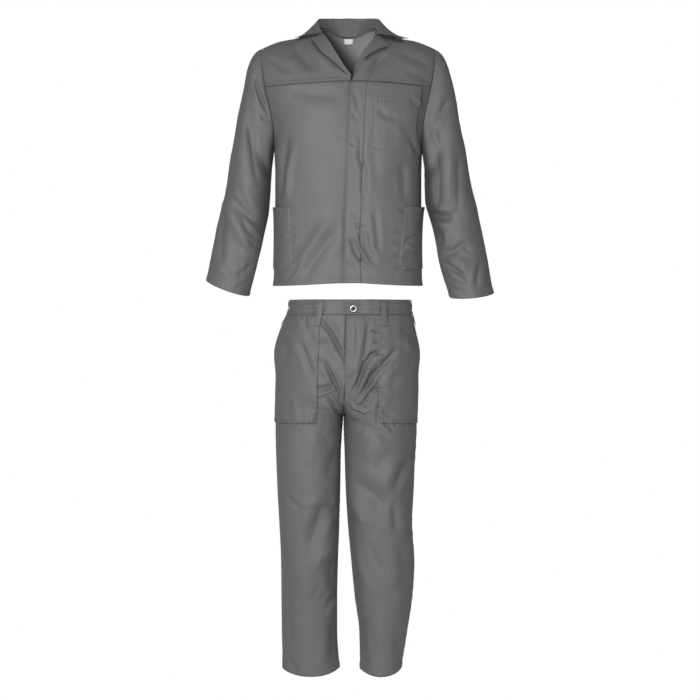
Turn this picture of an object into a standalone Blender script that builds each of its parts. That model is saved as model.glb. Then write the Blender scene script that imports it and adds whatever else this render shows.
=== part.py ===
"""A two-piece work suit, hollow and filled out as when worn: a jacket above its trousers.

Units are metres, +Z up. The front faces -Y. Right and left are the wearer's, so right is -X.
The origin is the middle of the shoulders at the base of the neck, where the wearer carries the jacket.
Every piece of cloth is a grid on a surface, closed by the same points moved in by the cloth's thickness.
A place on the jacket's body is an angle round it and a rise along it; on the trousers it is a turn and a
drop; on a sleeve it is an angle round it and a length down it.
"""
import math

import bmesh
import bpy
import numpy as np

CLOTH = 0.002             # wall of the cloth
SEAM = 0.00015            # half of the gap between two pieces at a seam
LAYER = 0.0005            # clearance between a piece and the panel that it lies on
UNDER = -0.0030           # how deep the right front lies at the left front's edge
LAP_DEPTH = -0.0048       # how deep it lies at its own edge, under the placket

# Jacket, driving sizes
UNDERARM_Z = -0.295       # level of the underarm points
ARCH = 0.365              # length along the cloth from that level to the shoulder seam
BODY_SQUARE = 2.6         # power of the body's rounded section, where 2 is an ellipse
HEM_Z = -0.677
HEM_LIFT = 0.008          # how much the hem rises at the middle of the front
YOKE_Z = -0.105           # level of the front yoke's seam at the middle
LAP = 0.030               # width of the right front under the left one
PLACKET = 0.042           # width of the placket

# Half width and half depth of the body by rise, and where its middle lies front to back
BODY = (
    # rise, half_width, half_depth, middle_y
    (-0.382, 0.2075, 0.138, 0.004),
    (-0.280, 0.2065, 0.138, 0.004),
    (-0.160, 0.2045, 0.139, 0.003),
    (-0.070, 0.2040, 0.140, 0.002),
    (0.000, 0.2070, 0.140, 0.002),
    (0.070, 0.2220, 0.139, 0.003),
    (0.130, 0.2400, 0.138, 0.004),
    (0.185, 0.2560, 0.136, 0.006),
    (0.275, 0.2750, 0.134, 0.008),
    (0.365, 0.2850, 0.132, 0.010),
)
SHOULDER = (
    # x from the middle, level of the shoulder line
    (0.000, 0.052),
    (0.050, 0.052),
    (0.080, 0.042),
    (0.110, 0.028),
    (0.146, 0.0165),
    (0.188, 0.0085),
    (0.241, -0.0125),
    (0.270, -0.030),
    (0.300, -0.050),
)
ARMHOLE = (
    # rise, angle from the middle of the front or back
    (0.000, 90.0),
    (0.015, 75.0),
    (0.050, 68.5),
    (0.100, 66.0),
    (0.1525, 63.5),
    (0.195, 60.5),
    (0.237, 58.0),
    (0.280, 55.5),
    (0.3225, 53.5),
    (0.365, 52.5),
)
YOKE_ROW = 4              # the row of ARMHOLE where the front yoke's seam meets it

CLOSING = (
    # level, x of the left front's edge
    (-0.670, -0.0056),
    (-0.530, -0.0084),
    (-0.420, -0.0045),
    (-0.314, -0.0010),
    (-0.185, 0.0056),
    (-0.105, 0.0112),
)
# Front view places along the roll lines, from the yoke's seam up to the side of the neck
ROLL_RIGHT = ((0.0085, -0.105), (0.0095, -0.0930), (-0.0123, -0.0644), (-0.0380, -0.0215),
              (-0.0560, 0.0080), (-0.0690, 0.0290))
ROLL_LEFT = ((0.0120, -0.105), (0.0150, -0.0970), (0.0200, -0.0680), (0.0380, -0.0310),
             (0.0616, -0.0014), (0.0770, 0.0240))
COLLAR_FRONT_RIGHT = (-0.0700, 0.0270)
COLLAR_FRONT_LEFT = (0.0790, 0.0240)
COLLAR_RIGHT = (
    # share from the front end to the middle of the back, roll_x, roll_y, roll_z, leaf_x, leaf_back
    (0.00, -0.0770, -0.0340, 0.0320, -0.1480, -0.012),
    (0.15, -0.0810, -0.0120, 0.0470, -0.1400, 0.012),
    (0.30, -0.0845, 0.0180, 0.0660, -0.1250, 0.045),
    (0.50, -0.0760, 0.0500, 0.0745, -0.1000, 0.080),
    (0.75, -0.0430, 0.0740, 0.0760, -0.0560, 0.100),
    (1.00, 0.0000, 0.0820, 0.0765, 0.0000, 0.112),
)
COLLAR_LEFT = (
    # share from the front end to the middle of the back, roll_x, roll_y, roll_z, leaf_x, leaf_back
    (0.00, 0.0870, -0.0350, 0.0290, 0.1680, -0.012),
    (0.15, 0.0870, -0.0120, 0.0450, 0.1560, 0.014),
    (0.30, 0.0895, 0.0180, 0.0660, 0.1300, 0.046),
    (0.50, 0.0800, 0.0500, 0.0740, 0.1030, 0.080),
    (0.75, 0.0430, 0.0740, 0.0760, 0.0580, 0.100),
    (1.00, 0.0000, 0.0820, 0.0765, 0.0000, 0.112),
)
FOLD_RADIUS = 0.0045      # half the thickness of the collar's fold
NECK_SHARE = 0.18         # share of half the collar that lies on the front
NECK_SIDE = 0.078         # x where the shoulder seam meets the neck
NECK_DROP = 0.098         # how far the back neckline dips along the cloth
LAPEL_RIGHT = ((0.0060, -0.0950), (-0.0180, -0.0740), (-0.0375, -0.0560), (-0.0600, -0.0370),
               (-0.0800, -0.0196), (-0.1036, 0.0140))
LAPEL_LEFT = ((0.0240, -0.0990), (0.0262, -0.0740), (0.0390, -0.0500), (0.0616, -0.0308),
              (0.0960, -0.0130), (0.1204, -0.0056))
GORGE_RIGHT = (-0.0860, 0.0180)
GORGE_LEFT = (0.0980, 0.0070)

# Places of the pockets, as front view places or as angle and rise where they reach the side
CHEST_INNER = (0.0665, 0.0714)
FLAP_INNER = (0.0760, 0.0725)
HIP_INNER_RIGHT = (0.1510, 0.1590)
HIP_INNER_LEFT = (0.1380, 0.1600)
MOUTH_RIGHT = 0.0055      # how far a hip pocket's mouth stands out at the side
MOUTH_LEFT = 0.0090
LABEL_COLUMNS = (11.42, 12.0, 12.38)
LABEL_ROWS = (20.12, 20.5, 20.90)
TROUSER_POCKET_INNER = (0.0770, 0.0880)

# Sleeve rings, the outer and inner points as seen from the front, then the middle and half of the depth
SLEEVE_RIGHT = (
    # length, outer_x, outer_z, inner_x, inner_z, middle_y, half_depth, front_drop
    (0.00, 0.2430, -0.0150, 0.2070, -0.2950, 0.004, 0.060, 0.000),
    (0.05, 0.2690, -0.0400, 0.2085, -0.3120, 0.003, 0.064, 0.000),
    (0.10, 0.2850, -0.0850, 0.2105, -0.3280, 0.002, 0.068, 0.000),
    (0.17, 0.2975, -0.1500, 0.2125, -0.3480, 0.000, 0.071, 0.000),
    (0.25, 0.3120, -0.2150, 0.2135, -0.3700, -0.001, 0.073, 0.000),
    (0.34, 0.3240, -0.2850, 0.2145, -0.4000, -0.003, 0.074, 0.000),
    (0.44, 0.3340, -0.3550, 0.2165, -0.4350, -0.006, 0.075, 0.000),
    (0.56, 0.3480, -0.4300, 0.2240, -0.4900, -0.010, 0.073, 0.000),
    (0.70, 0.3650, -0.5050, 0.2380, -0.5500, -0.014, 0.069, 0.000),
    (0.84, 0.3810, -0.5800, 0.2560, -0.6200, -0.017, 0.065, -0.004),
    (1.00, 0.3970, -0.6600, 0.2770, -0.7030, -0.020, 0.062, -0.010),
)
SLEEVE_LEFT = (
    # length, outer_x, outer_z, inner_x, inner_z, middle_y, half_depth, front_drop
    (0.00, 0.2430, -0.0150, 0.2070, -0.2950, 0.004, 0.060, 0.000),
    (0.05, 0.2690, -0.0400, 0.2085, -0.3120, 0.003, 0.064, 0.000),
    (0.10, 0.2860, -0.0850, 0.2105, -0.3280, 0.002, 0.068, 0.000),
    (0.17, 0.3010, -0.1500, 0.2125, -0.3480, 0.000, 0.071, 0.000),
    (0.25, 0.3130, -0.2150, 0.2135, -0.3700, -0.001, 0.073, 0.000),
    (0.34, 0.3255, -0.2850, 0.2150, -0.4000, -0.003, 0.074, 0.000),
    (0.44, 0.3390, -0.3550, 0.2170, -0.4380, -0.006, 0.075, 0.000),
    (0.56, 0.3540, -0.4300, 0.2290, -0.4880, -0.010, 0.073, 0.000),
    (0.70, 0.3730, -0.5150, 0.2440, -0.5500, -0.014, 0.070, 0.000),
    (0.84, 0.3900, -0.6000, 0.2610, -0.6300, -0.017, 0.066, -0.004),
    (1.00, 0.4070, -0.6960, 0.2850, -0.7070, -0.020, 0.062, -0.010),
)
CAP = 0.30                # length of a sleeve over which the armhole's shape fades out

# Trousers, driving sizes
WAIST_Z = -0.7165         # top of the waistband
BAND = 0.040              # width of the waistband
SEAT_SQUARE = 2.4
LEG_SQUARE = 2.2
CROTCH_Z = -1.042
SEAT_DEPTH = 0.105        # height of the curved part of the seat seam
LEG_START_Z = -0.975      # levels between which the seat's section becomes the leg's, away from the seat seam
LEG_END_Z = -1.210
LEG_HEM_Z = -1.748
HEM_DIP = 0.022           # how much a leg's hem hangs lower at its creases

HIPS = (
    # level, right_x, left_x, middle_x, half_depth, middle_y
    (-1.042, 0.2030, 0.1930, -0.0130, 0.138, 0.012),
    (-0.990, 0.2025, 0.1955, -0.0100, 0.140, 0.012),
    (-0.930, 0.2010, 0.1960, -0.0070, 0.141, 0.012),
    (-0.880, 0.2010, 0.1970, -0.0050, 0.139, 0.010),
    (-0.830, 0.1960, 0.1930, -0.0030, 0.133, 0.008),
    (-0.790, 0.1830, 0.1850, -0.0010, 0.126, 0.006),
    (-0.757, 0.1700, 0.1800, 0.0000, 0.119, 0.004),
    (-0.716, 0.1640, 0.1770, 0.0020, 0.117, 0.003),
)
LEG_RIGHT = (
    # level, inner_x, outer_x, half_depth, middle_y
    (-1.748, -0.0235, -0.1830, 0.074, 0.012),
    (-1.650, -0.0300, -0.1860, 0.077, 0.010),
    (-1.550, -0.0300, -0.1870, 0.081, 0.008),
    (-1.450, -0.0280, -0.1880, 0.085, 0.004),
    (-1.340, -0.0240, -0.1930, 0.092, 0.002),
    (-1.240, -0.0230, -0.1985, 0.102, 0.004),
    (-1.140, -0.0200, -0.2020, 0.114, 0.008),
    (-1.090, -0.0170, -0.2030, 0.121, 0.010),
    (-1.042, -0.0130, -0.2030, 0.128, 0.012),
)
LEG_LEFT = (
    # level, inner_x, outer_x, half_depth, middle_y
    (-1.748, 0.0350, 0.1500, 0.080, 0.012),
    (-1.650, 0.0330, 0.1660, 0.081, 0.010),
    (-1.550, 0.0190, 0.1800, 0.083, 0.008),
    (-1.450, 0.0090, 0.1850, 0.086, 0.004),
    (-1.340, -0.0010, 0.1800, 0.092, 0.002),
    (-1.240, -0.0070, 0.1850, 0.102, 0.004),
    (-1.140, -0.0100, 0.1880, 0.114, 0.008),
    (-1.090, -0.0115, 0.1900, 0.121, 0.010),
    (-1.042, -0.0130, 0.1930, 0.128, 0.012),
)

# The largest folds, as soft ridges and troughs between two places of the front or back view
FRONT_FOLDS = (
    # x0, z0, x1, z1, half_width, height
    (-0.150, 0.000, -0.080, -0.085, 0.022, -0.0045),
    (0.060, -0.078, 0.100, -0.036, 0.018, -0.0040),
    (0.030, -0.500, 0.060, -0.625, 0.016, -0.0050),
    (0.062, -0.500, 0.085, -0.640, 0.020, 0.0045),
    (-0.165, -0.330, -0.110, -0.450, 0.022, -0.0045),
    (0.160, -0.340, 0.110, -0.440, 0.024, -0.0045),
    (-0.070, -0.440, -0.075, -0.620, 0.026, 0.0040),
)
BACK_FOLDS = (
    # x0, z0, x1, z1, half_width, height
    (-0.160, -0.280, -0.080, -0.400, 0.026, -0.0060),
    (0.160, -0.270, 0.085, -0.420, 0.026, -0.0060),
    (-0.060, -0.430, -0.050, -0.650, 0.028, 0.0055),
    (0.070, -0.470, 0.060, -0.660, 0.030, 0.0050),
    (-0.120, -0.060, -0.040, -0.120, 0.022, -0.0040),
    (0.110, -0.060, 0.040, -0.110, 0.022, -0.0040),
)
LEG_FRONT_FOLDS = (
    # x0, z0, x1, z1, half_width, height
    (-0.063, -0.790, -0.018, -0.865, 0.013, -0.0060),
    (-0.053, -0.913, -0.012, -0.990, 0.013, -0.0070),
    (0.010, -0.980, 0.085, -0.860, 0.013, -0.0070),
    (0.022, -1.014, 0.092, -0.925, 0.014, -0.0065),
    (-0.030, -1.060, -0.140, -1.000, 0.020, -0.0050),
    (0.030, -1.080, 0.130, -1.040, 0.020, -0.0050),
    (-0.180, -1.255, -0.145, -1.300, 0.018, -0.0050),
    (-0.118, -1.412, -0.030, -1.292, 0.022, -0.0060),
    (0.008, -1.215, 0.106, -1.300, 0.020, -0.0060),
    (-0.170, -1.560, -0.080, -1.600, 0.022, -0.0045),
    (0.050, -1.540, 0.130, -1.590, 0.022, -0.0050),
)
LEG_BACK_FOLDS = (
    # x0, z0, x1, z1, half_width, height
    (-0.030, -1.010, -0.130, -0.950, 0.020, -0.0070),
    (0.030, -1.010, 0.130, -0.960, 0.020, -0.0070),
    (-0.160, -1.150, -0.060, -1.190, 0.024, -0.0060),
    (0.060, -1.160, 0.150, -1.200, 0.024, -0.0060),
    (-0.170, -1.350, -0.060, -1.390, 0.022, -0.0070),
    (0.050, -1.350, 0.150, -1.400, 0.022, -0.0070),
    (-0.160, -1.600, -0.060, -1.560, 0.024, -0.0050),
    (0.060, -1.600, 0.140, -1.570, 0.024, -0.0050),
)
SLEEVE_FOLDS = (
    # angle0, length0, angle1, length1, half_width, height
    (40.0, 0.12, 150.0, 0.30, 0.030, -0.0060),
    (60.0, 0.62, 150.0, 0.55, 0.028, -0.0060),
    (20.0, 0.72, 120.0, 0.82, 0.028, -0.0050),
    (220.0, 0.30, 320.0, 0.16, 0.032, -0.0060),
    (210.0, 0.58, 300.0, 0.66, 0.030, -0.0060),
    (60.0, 0.20, 75.0, 0.60, 0.034, 0.0040),
)

JACKET_GREY = (0.17, 0.17, 0.17)
TROUSERS_GREY = (0.14, 0.145, 0.145)

LOOP_X = {"front_right": -0.0770, "front_left": 0.0990}
LOOP_WIDTH = 0.015
LOOP_TOP = -0.7190
LOOP_BOTTOM = -0.7880
LOOP_MIDDLE = -0.7450     # level where a loop's width is measured
LOOP_STEP = (-0.775, -0.735)  # levels between which a loop comes down from the pocket to the band
BAND_END = 0.008          # how far the band's left end laps past the middle
BAND_LIFT = 0.0032        # how far that end stands out over the other one
BUTTON_X = 0.0150
BUTTON_Z = -0.7395
BUTTON_RADIUS = 0.0095
BUTTON_GAP = 0.0010       # between the band and the shank, the button's own cloth bush
FLY_BOTTOM = -0.9300
FLY_WIDTH = 0.052
FLY_FOOT = 0.006          # width that the foot's curve starts from

# Grid sizes
FRONT_COLUMNS = 8
PLACKET_COLUMNS = 2
NECK_COLUMNS = 6
BODY_ROWS = 12
SLEEVE_ROWS = 16
LEG_COLUMNS = 8
HIP_ROWS = 7
CROTCH_ROWS = 4
LEG_ROWS = 17


def smooth(rows, column, key):
    """A column of a table at key, by a monotone cubic through its rows, ordered by their first value."""
    keys = np.array([row[0] for row in rows])
    values = np.array([row[column] for row in rows])
    steps = np.diff(keys)
    slopes = np.diff(values) / steps
    tangents = np.zeros_like(values)
    same = slopes[:-1] * slopes[1:] > 0
    total = np.where(same, slopes[:-1] + slopes[1:], 1.0)
    tangents[1:-1] = np.where(same, 2 * slopes[:-1] * slopes[1:] / total, 0.0)
    tangents[0] = slopes[0]
    tangents[-1] = slopes[-1]
    key = np.clip(key, keys[0], keys[-1])
    i = np.clip(np.searchsorted(keys, key) - 1, 0, len(steps) - 1)
    t = (key - keys[i]) / steps[i]
    ease = t * t * (3 - 2 * t)
    bend = steps[i] * (t * (1 - t) ** 2 * tangents[i] - t * t * (1 - t) * tangents[i + 1])
    return values[i] * (1 - ease) + values[i + 1] * ease + bend


def section(angle, power):
    """Across and forward shares of a rounded section's half sizes, at an angle in degrees."""
    sine = np.sin(np.radians(angle))
    cosine = np.cos(np.radians(angle))
    size = (np.abs(sine) ** power + np.abs(cosine) ** power) ** (1 / power)
    return sine / size, cosine / size


def unit(vectors):
    return vectors / np.maximum(np.linalg.norm(vectors, axis=-1, keepdims=True), 1e-12)


def step_up(value, start, end):
    """0 before start and 1 after end, with an even rise between."""
    t = np.clip((value - start) / (end - start), 0, 1)
    return t * t * (3 - 2 * t)


def fold_height(folds, first, second, stretch=(1.0, 1.0)):
    """Sum of the folds' heights at a place, each a soft ridge on its line that dies out at its ends."""
    height = 0.0
    for first0, second0, first1, second1, half_width, top in folds:
        along = np.array(((first1 - first0) * stretch[0], (second1 - second0) * stretch[1]))
        length = math.hypot(*along)
        away = ((first - first0) * stretch[0], (second - second0) * stretch[1])
        share = (away[0] * along[0] + away[1] * along[1]) / length ** 2
        aside = (away[0] * along[1] - away[1] * along[0]) / length
        ends = step_up(share, -0.15, 0.3) * (1 - step_up(share, 0.7, 1.15))
        height = height + top * ends * np.exp(-(aside / half_width) ** 2)
    return height


def body(angle, rise):
    """The jacket's body: rounded sections up to the underarm, then an arch over to the shoulder line."""
    across, forward = section(angle, BODY_SQUARE)
    lean = np.pi / 2 * np.maximum(rise, 0) / ARCH
    x = smooth(BODY, 1, rise) * across
    top = smooth(SHOULDER, 1, np.abs(x)) - UNDERARM_Z
    y = smooth(BODY, 3, rise) - smooth(BODY, 2, rise) * forward * np.cos(lean)
    z = UNDERARM_Z + np.minimum(rise, 0) + top * np.sin(lean)
    return np.stack((x, y, z), axis=-1)


def body_place(x, z):
    """The angle and rise of the body's front at a place of the front view."""
    top = smooth(SHOULDER, 1, abs(x)) - UNDERARM_Z
    share = np.clip((z - UNDERARM_Z) / top, 0, 1)
    rise = z - UNDERARM_Z if z < UNDERARM_Z else ARCH * np.arcsin(share) * 2 / np.pi
    across = x / smooth(BODY, 1, rise)
    forward = (1 - min(abs(across), 1) ** BODY_SQUARE) ** (1 / BODY_SQUARE)
    return math.degrees(math.atan2(across, forward)), float(rise)


def sleeve_side(side):
    """The surface of one sleeve. Its angle runs from the outer side by the front to the inner side."""
    rings = SLEEVE_RIGHT if side < 0 else SLEEVE_LEFT

    def ring(angle, length):
        outer = np.stack([smooth(rings, column, length) for column in (1, 5, 2)], axis=-1)
        inner = np.stack([smooth(rings, column, length) for column in (3, 5, 4)], axis=-1)
        turn = np.radians(angle)[..., None]
        depth = smooth(rings, 6, length)[..., None] * np.array((0.0, -1.0, 0.0))
        depth = depth + smooth(rings, 7, length)[..., None] * np.array((0.0, 0.0, 1.0))
        return (outer + inner) / 2 + (outer - inner) / 2 * np.cos(turn) + depth * np.sin(turn)

    def surface(angle, length):
        angle = angle % 360
        front = np.minimum(angle, 360 - angle)
        rises = [row[0] for row in ARMHOLE]
        rise = np.interp(front, np.linspace(0, 180, len(rises)), rises[::-1])
        reach = np.interp(rise, rises, [row[1] for row in ARMHOLE])
        start = body(np.where(angle <= 180, reach, 180 - reach), rise)
        fade = (1 - step_up(length, 0, CAP))[..., None]
        flat = ring(angle, length) + fade * (start - ring(angle, np.zeros_like(length)))
        return flat * np.array((side, 1.0, 1.0))

    return surface


def hips(angle, level):
    """The trousers' seat, at an angle from the middle of the front, right negative."""
    across, forward = section(angle, SEAT_SQUARE)
    middle = smooth(HIPS, 3, level)
    half = np.where(across < 0, middle + smooth(HIPS, 1, level), smooth(HIPS, 2, level) - middle)
    x = middle + half * across
    y = smooth(HIPS, 5, level) - smooth(HIPS, 4, level) * forward
    return np.stack((x, y, level + 0 * x), axis=-1)


def drop_level(drop):
    """Level and leg share at a drop: to 1 is the seat, to 2 the curve of the seat seam, to 3 the leg."""
    seat_end = CROTCH_Z + SEAT_DEPTH
    waist = WAIST_Z - BAND
    curve = np.clip(drop - 1, 0, 1) * np.pi / 2
    level = waist + (seat_end - waist) * np.clip(drop, 0, 1) - SEAT_DEPTH * np.sin(curve)
    level = level + (LEG_HEM_Z - CROTCH_Z) * np.maximum(drop - 2, 0)
    return level, 1 - np.cos(curve)


def leg_side(side):
    """The surface of one trouser half, whose turn is 0 at the front seam, 1 at the side and 2 at the back."""
    rings = LEG_RIGHT if side < 0 else LEG_LEFT

    def surface(turn, drop):
        level, curved = drop_level(drop)
        from_edge = 1 - np.abs(1 - turn)
        near = (1 - np.clip(from_edge, 0, 1)) ** 3
        share = curved * near + step_up(-level, -LEG_START_Z, -LEG_END_Z) * (1 - near)
        seat = hips(side * 90 * turn, level)
        across, forward = section(turn * 180 - 90, LEG_SQUARE)
        inner = smooth(rings, 1, level)
        outer = smooth(rings, 2, level)
        x = (inner + outer) / 2 + (outer - inner) / 2 * across
        y = smooth(rings, 4, level) - smooth(rings, 3, level) * forward
        dip = HEM_DIP * np.maximum(drop - 2, 0) ** 6 * forward ** 2
        leg = np.stack((x, y, level - dip), axis=-1)
        both = seat * (1 - share[..., None]) + leg * share[..., None]
        return both + np.array((side * SEAM, 0.0, 0.0))

    return surface


def outward(surface, first, second, facing):
    """Unit normals of a surface, from small steps along it."""
    steps = (0.02, 0.0002) if surface is body else (0.002, 0.001)
    across = surface(first + steps[0], second) - surface(first - steps[0], second)
    along = surface(first, second + steps[1]) - surface(first, second - steps[1])
    return facing * unit(np.cross(across, along))


def patch(bottom, top, start, end):
    """Places of a grid from those along its four edges (a Coons patch)."""
    bottom, top, start, end = (np.array(edge, dtype=float) for edge in (bottom, top, start, end))
    across = np.linspace(0, 1, len(bottom))[None, :, None]
    along = np.linspace(0, 1, len(start))[:, None, None]
    sides = (1 - across) * start[:, None] + across * end[:, None]
    ends = (1 - along) * bottom[None] + along * top[None]
    low = (1 - across) * bottom[0] + across * bottom[-1]
    high = (1 - across) * top[0] + across * top[-1]
    return sides + ends - (1 - along) * low - along * high


def line(points, count):
    """Places at even shares along a line of places."""
    points = np.array(points, dtype=float)
    shares = np.linspace(0, 1, len(points))
    wanted = np.linspace(0, 1, count + 1)
    return np.stack([np.interp(wanted, shares, points[:, i]) for i in range(points.shape[1])], axis=-1)


def make_material(name, colour, roughness, metallic=0.0):
    material = bpy.data.materials.new(name)
    material.use_nodes = True
    shader = material.node_tree.nodes["Principled BSDF"]
    shader.inputs["Base Color"].default_value = (*colour, 1.0)
    shader.inputs["Roughness"].default_value = roughness
    shader.inputs["Metallic"].default_value = metallic
    return material


def add_object(name, mesh, colour, roughness=0.9, metallic=0.0):
    obj = bpy.data.objects.new(name, mesh)
    mesh.materials.append(make_material(name, colour, roughness, metallic))
    mesh.shade_smooth()
    mesh.set_sharp_from_angle(angle=math.radians(40))
    bpy.data.collections["work_suit"].objects.link(obj)
    return obj


def close_edges(points, edges):
    """Draw the named edges of a grid in by half a seam's gap."""
    for edge, (rim, beside) in {"low": (0, 1), "high": (-1, -2)}.items():
        if edge in edges:
            points[rim] += SEAM * unit(points[beside] - points[rim])
    for edge, (rim, beside) in {"start": (0, 1), "end": (-1, -2)}.items():
        if edge in edges:
            points[:, rim] += SEAM * unit(points[:, beside] - points[:, rim])


def wall(name, points, normals, edges=(), lift=0.0, thickness=CLOTH, ring=False):
    """A closed wall of cloth on a grid of points, with its thickness on the inner side."""
    rows, columns = points.shape[0] - 1, points.shape[1] - 1
    lift = np.broadcast_to(lift, points.shape[:2])[..., None]
    outer = points + normals * lift
    close_edges(outer, edges)
    inner = outer - normals * thickness
    mesh_data = bmesh.new()
    bmesh.ops.create_grid(mesh_data, x_segments=columns, y_segments=rows, size=0.5)
    if ring:
        for vert in mesh_data.verts:
            turn = 2 * math.pi * (vert.co.x + 0.5)
            vert.co = (math.cos(turn), math.sin(turn), vert.co.y + 0.5)
        bmesh.ops.remove_doubles(mesh_data, verts=mesh_data.verts, dist=1e-5)
    else:
        for vert in mesh_data.verts:
            vert.co = (vert.co.x + 0.5, 0.0, vert.co.y + 0.5)
    doubled = bmesh.ops.extrude_face_region(mesh_data, geom=mesh_data.faces[:], use_keep_orig=True)
    copies = {item for item in doubled["geom"] if isinstance(item, bmesh.types.BMVert)}
    for vert in mesh_data.verts:
        share = (math.atan2(vert.co.y, vert.co.x) / (2 * math.pi)) % 1 if ring else vert.co.x
        column = round(share * columns) % columns if ring else round(share * columns)
        row = round(vert.co.z * rows)
        vert.co = (inner if vert in copies else outer)[row, column]
    bmesh.ops.recalc_face_normals(mesh_data, faces=mesh_data.faces)
    if mesh_data.calc_volume(signed=True) < 0:
        bmesh.ops.reverse_faces(mesh_data, faces=mesh_data.faces)
    mesh = bpy.data.meshes.new(name)
    mesh_data.to_mesh(mesh)
    mesh_data.free()
    return add_object(name, mesh, JACKET_GREY if name.startswith("jacket") else TROUSERS_GREY)


PANELS = {}               # outer points and normals of each panel that something lies on


def sample(grid, row, column):
    """A panel's grid read between its rows and columns, along its flat facets."""
    row = np.clip(row, 0, grid.shape[0] - 1.001)
    column = np.clip(column, 0, grid.shape[1] - 1.001)
    low, near = np.floor(row).astype(int), np.floor(column).astype(int)
    up, over = (row - low)[..., None], (column - near)[..., None]
    first = grid[low, near] * (1 - over) + grid[low, near + 1] * over
    second = grid[low + 1, near] * (1 - over) + grid[low + 1, near + 1] * over
    return first * (1 - up) + second * up


def edge_columns(edge, column, count):
    """An edge that lies between a panel's columns, and count columns from it up to another column.

    They are the panel's own columns where there are enough, and the widest gap is halved for the rest.
    """
    step = 1 if column > edge else -1
    first = math.floor(edge) + 1 if step > 0 else math.ceil(edge) - 1
    found = [edge] + [float(whole) for whole in range(first, column, step)] + [float(column)]
    while len(found) < count + 2:
        gaps = [abs(found[i + 1] - found[i]) for i in range(len(found) - 1)]
        widest = gaps.index(max(gaps))
        found.insert(widest + 1, (found[widest] + found[widest + 1]) / 2)
    return found[:-1]


def layer(name, panel, rows, columns, inner, lift, spare=1):
    """A piece that lies on a panel, on the panel's own points moved out.

    Each row is a pair, the panel's row at the piece's inner edge and at its outer edge. The inner edge lies
    where the panel's distance from the middle is inner, a pair for the first and the last row.
    """
    points, normals = PANELS[panel]
    numbers = np.arange(points.shape[1])
    place_rows, place_columns = [], []
    for i, (start, end) in enumerate(rows):
        across = np.abs(sample(points, np.full(len(numbers), float(start)), numbers)[:, 0])
        wanted = inner[0] + (inner[1] - inner[0]) * i / (len(rows) - 1)
        order = np.argsort(across)
        edge = float(np.interp(wanted, across[order], numbers[order]))
        line_columns = np.array(edge_columns(edge, columns[0], spare) + list(columns))
        share = (line_columns - edge) / (line_columns[-1] - edge)
        place_columns.append(line_columns)
        place_rows.append(start + (end - start) * share)
    row, column = np.array(place_rows), np.array(place_columns)
    shares = np.meshgrid(np.linspace(0, 1, row.shape[1]), np.linspace(0, 1, row.shape[0]))
    wall(name, sample(points, row, column), unit(sample(normals, row, column)), lift=lift(*shares))


def body_wall(name, places, folds, **options):
    """A wall on the jacket's body at a grid of places."""
    angle, rise = places[..., 0], places[..., 1]
    points = body(angle, rise)
    normals = outward(body, angle, rise, 1)
    quiet = 1 - step_up(np.abs(points[..., 0]), 0.150, 0.190)
    points = points + normals * (fold_height(folds, points[..., 0], points[..., 2]) * quiet)[..., None]
    PANELS[name] = (points, normals)
    return wall(name, points, normals, **options)


def closing_x(level):
    return smooth(CLOSING, 1, level)


def hem_rise(angle):
    """The jacket hem's rise, a little higher at the middle of the front and of the back."""
    return HEM_Z - UNDERARM_Z + HEM_LIFT * np.cos(np.radians(angle)) ** 6


def front_line(xs, z):
    return [body_place(x, z) for x in xs]


def armhole(first, last, side, back=False):
    """Places along the armhole from one row of its table to another."""
    rows = ARMHOLE[first:last + 1]
    return [(180 - side * angle if back else side * angle, rise) for rise, angle in rows]


def side_edge(side):
    """Places up a front's outer edge: the side seam, then the armhole up to the yoke's seam."""
    seam = [(side * 90.0, rise) for rise in np.linspace(float(hem_rise(90.0)), 0, BODY_ROWS + 1)]
    return seam + armhole(1, YOKE_ROW, side)


def yoke_line(side, xs):
    """Places along the yoke's seam, which drops a little toward the armhole."""
    end_angle, end_rise = armhole(YOKE_ROW, YOKE_ROW, side)[0]
    end_x = float(body(np.float64(end_angle), np.float64(end_rise))[0])
    end_z = float(body(np.float64(end_angle), np.float64(end_rise))[2])
    places = []
    for x in xs:
        share = (x - xs[0]) / (end_x - xs[0])
        places.append(body_place(x, YOKE_Z + (end_z - YOKE_Z) * share ** 1.5))
    places[-1] = (end_angle, end_rise)
    return places


def front_rows(edge_x):
    """Places up a front's inner edge at the levels of the rows, edge_x giving x by level."""
    levels = list(np.linspace(HEM_Z + HEM_LIFT, UNDERARM_Z, BODY_ROWS + 1))
    levels += [UNDERARM_Z + (YOKE_Z - UNDERARM_Z) * share for share in (0.12, 0.38, 0.70, 1.0)]
    return [body_place(float(edge_x(level)), level) for level in levels]


def hem_line(start, end, count, crowd=1.0):
    """Places along the hem between two angles."""
    angles = start + (end - start) * np.linspace(0, 1, count + 1) ** crowd
    return [(angle, float(hem_rise(angle))) for angle in angles]


def make_left_front(top_left, top_placket):
    """The left front and the placket along its edge."""
    edge = front_rows(closing_x)
    seam = front_rows(lambda level: closing_x(level) + PLACKET)
    seam[-1] = top_left[0]
    edge[-1] = top_placket[0]
    bottom = hem_line(seam[0][0], 90.0, len(top_left) - 1)
    bottom[0] = seam[0]
    places = patch(bottom, top_left, seam, side_edge(1))
    body_wall("jacket_front_left", places, FRONT_FOLDS, edges=("high", "start", "end"))
    bottom = line((edge[0], seam[0]), PLACKET_COLUMNS)
    places = patch(bottom, top_placket, edge, seam)
    body_wall("jacket_placket", places, FRONT_FOLDS, edges=("high", "end"))


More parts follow.
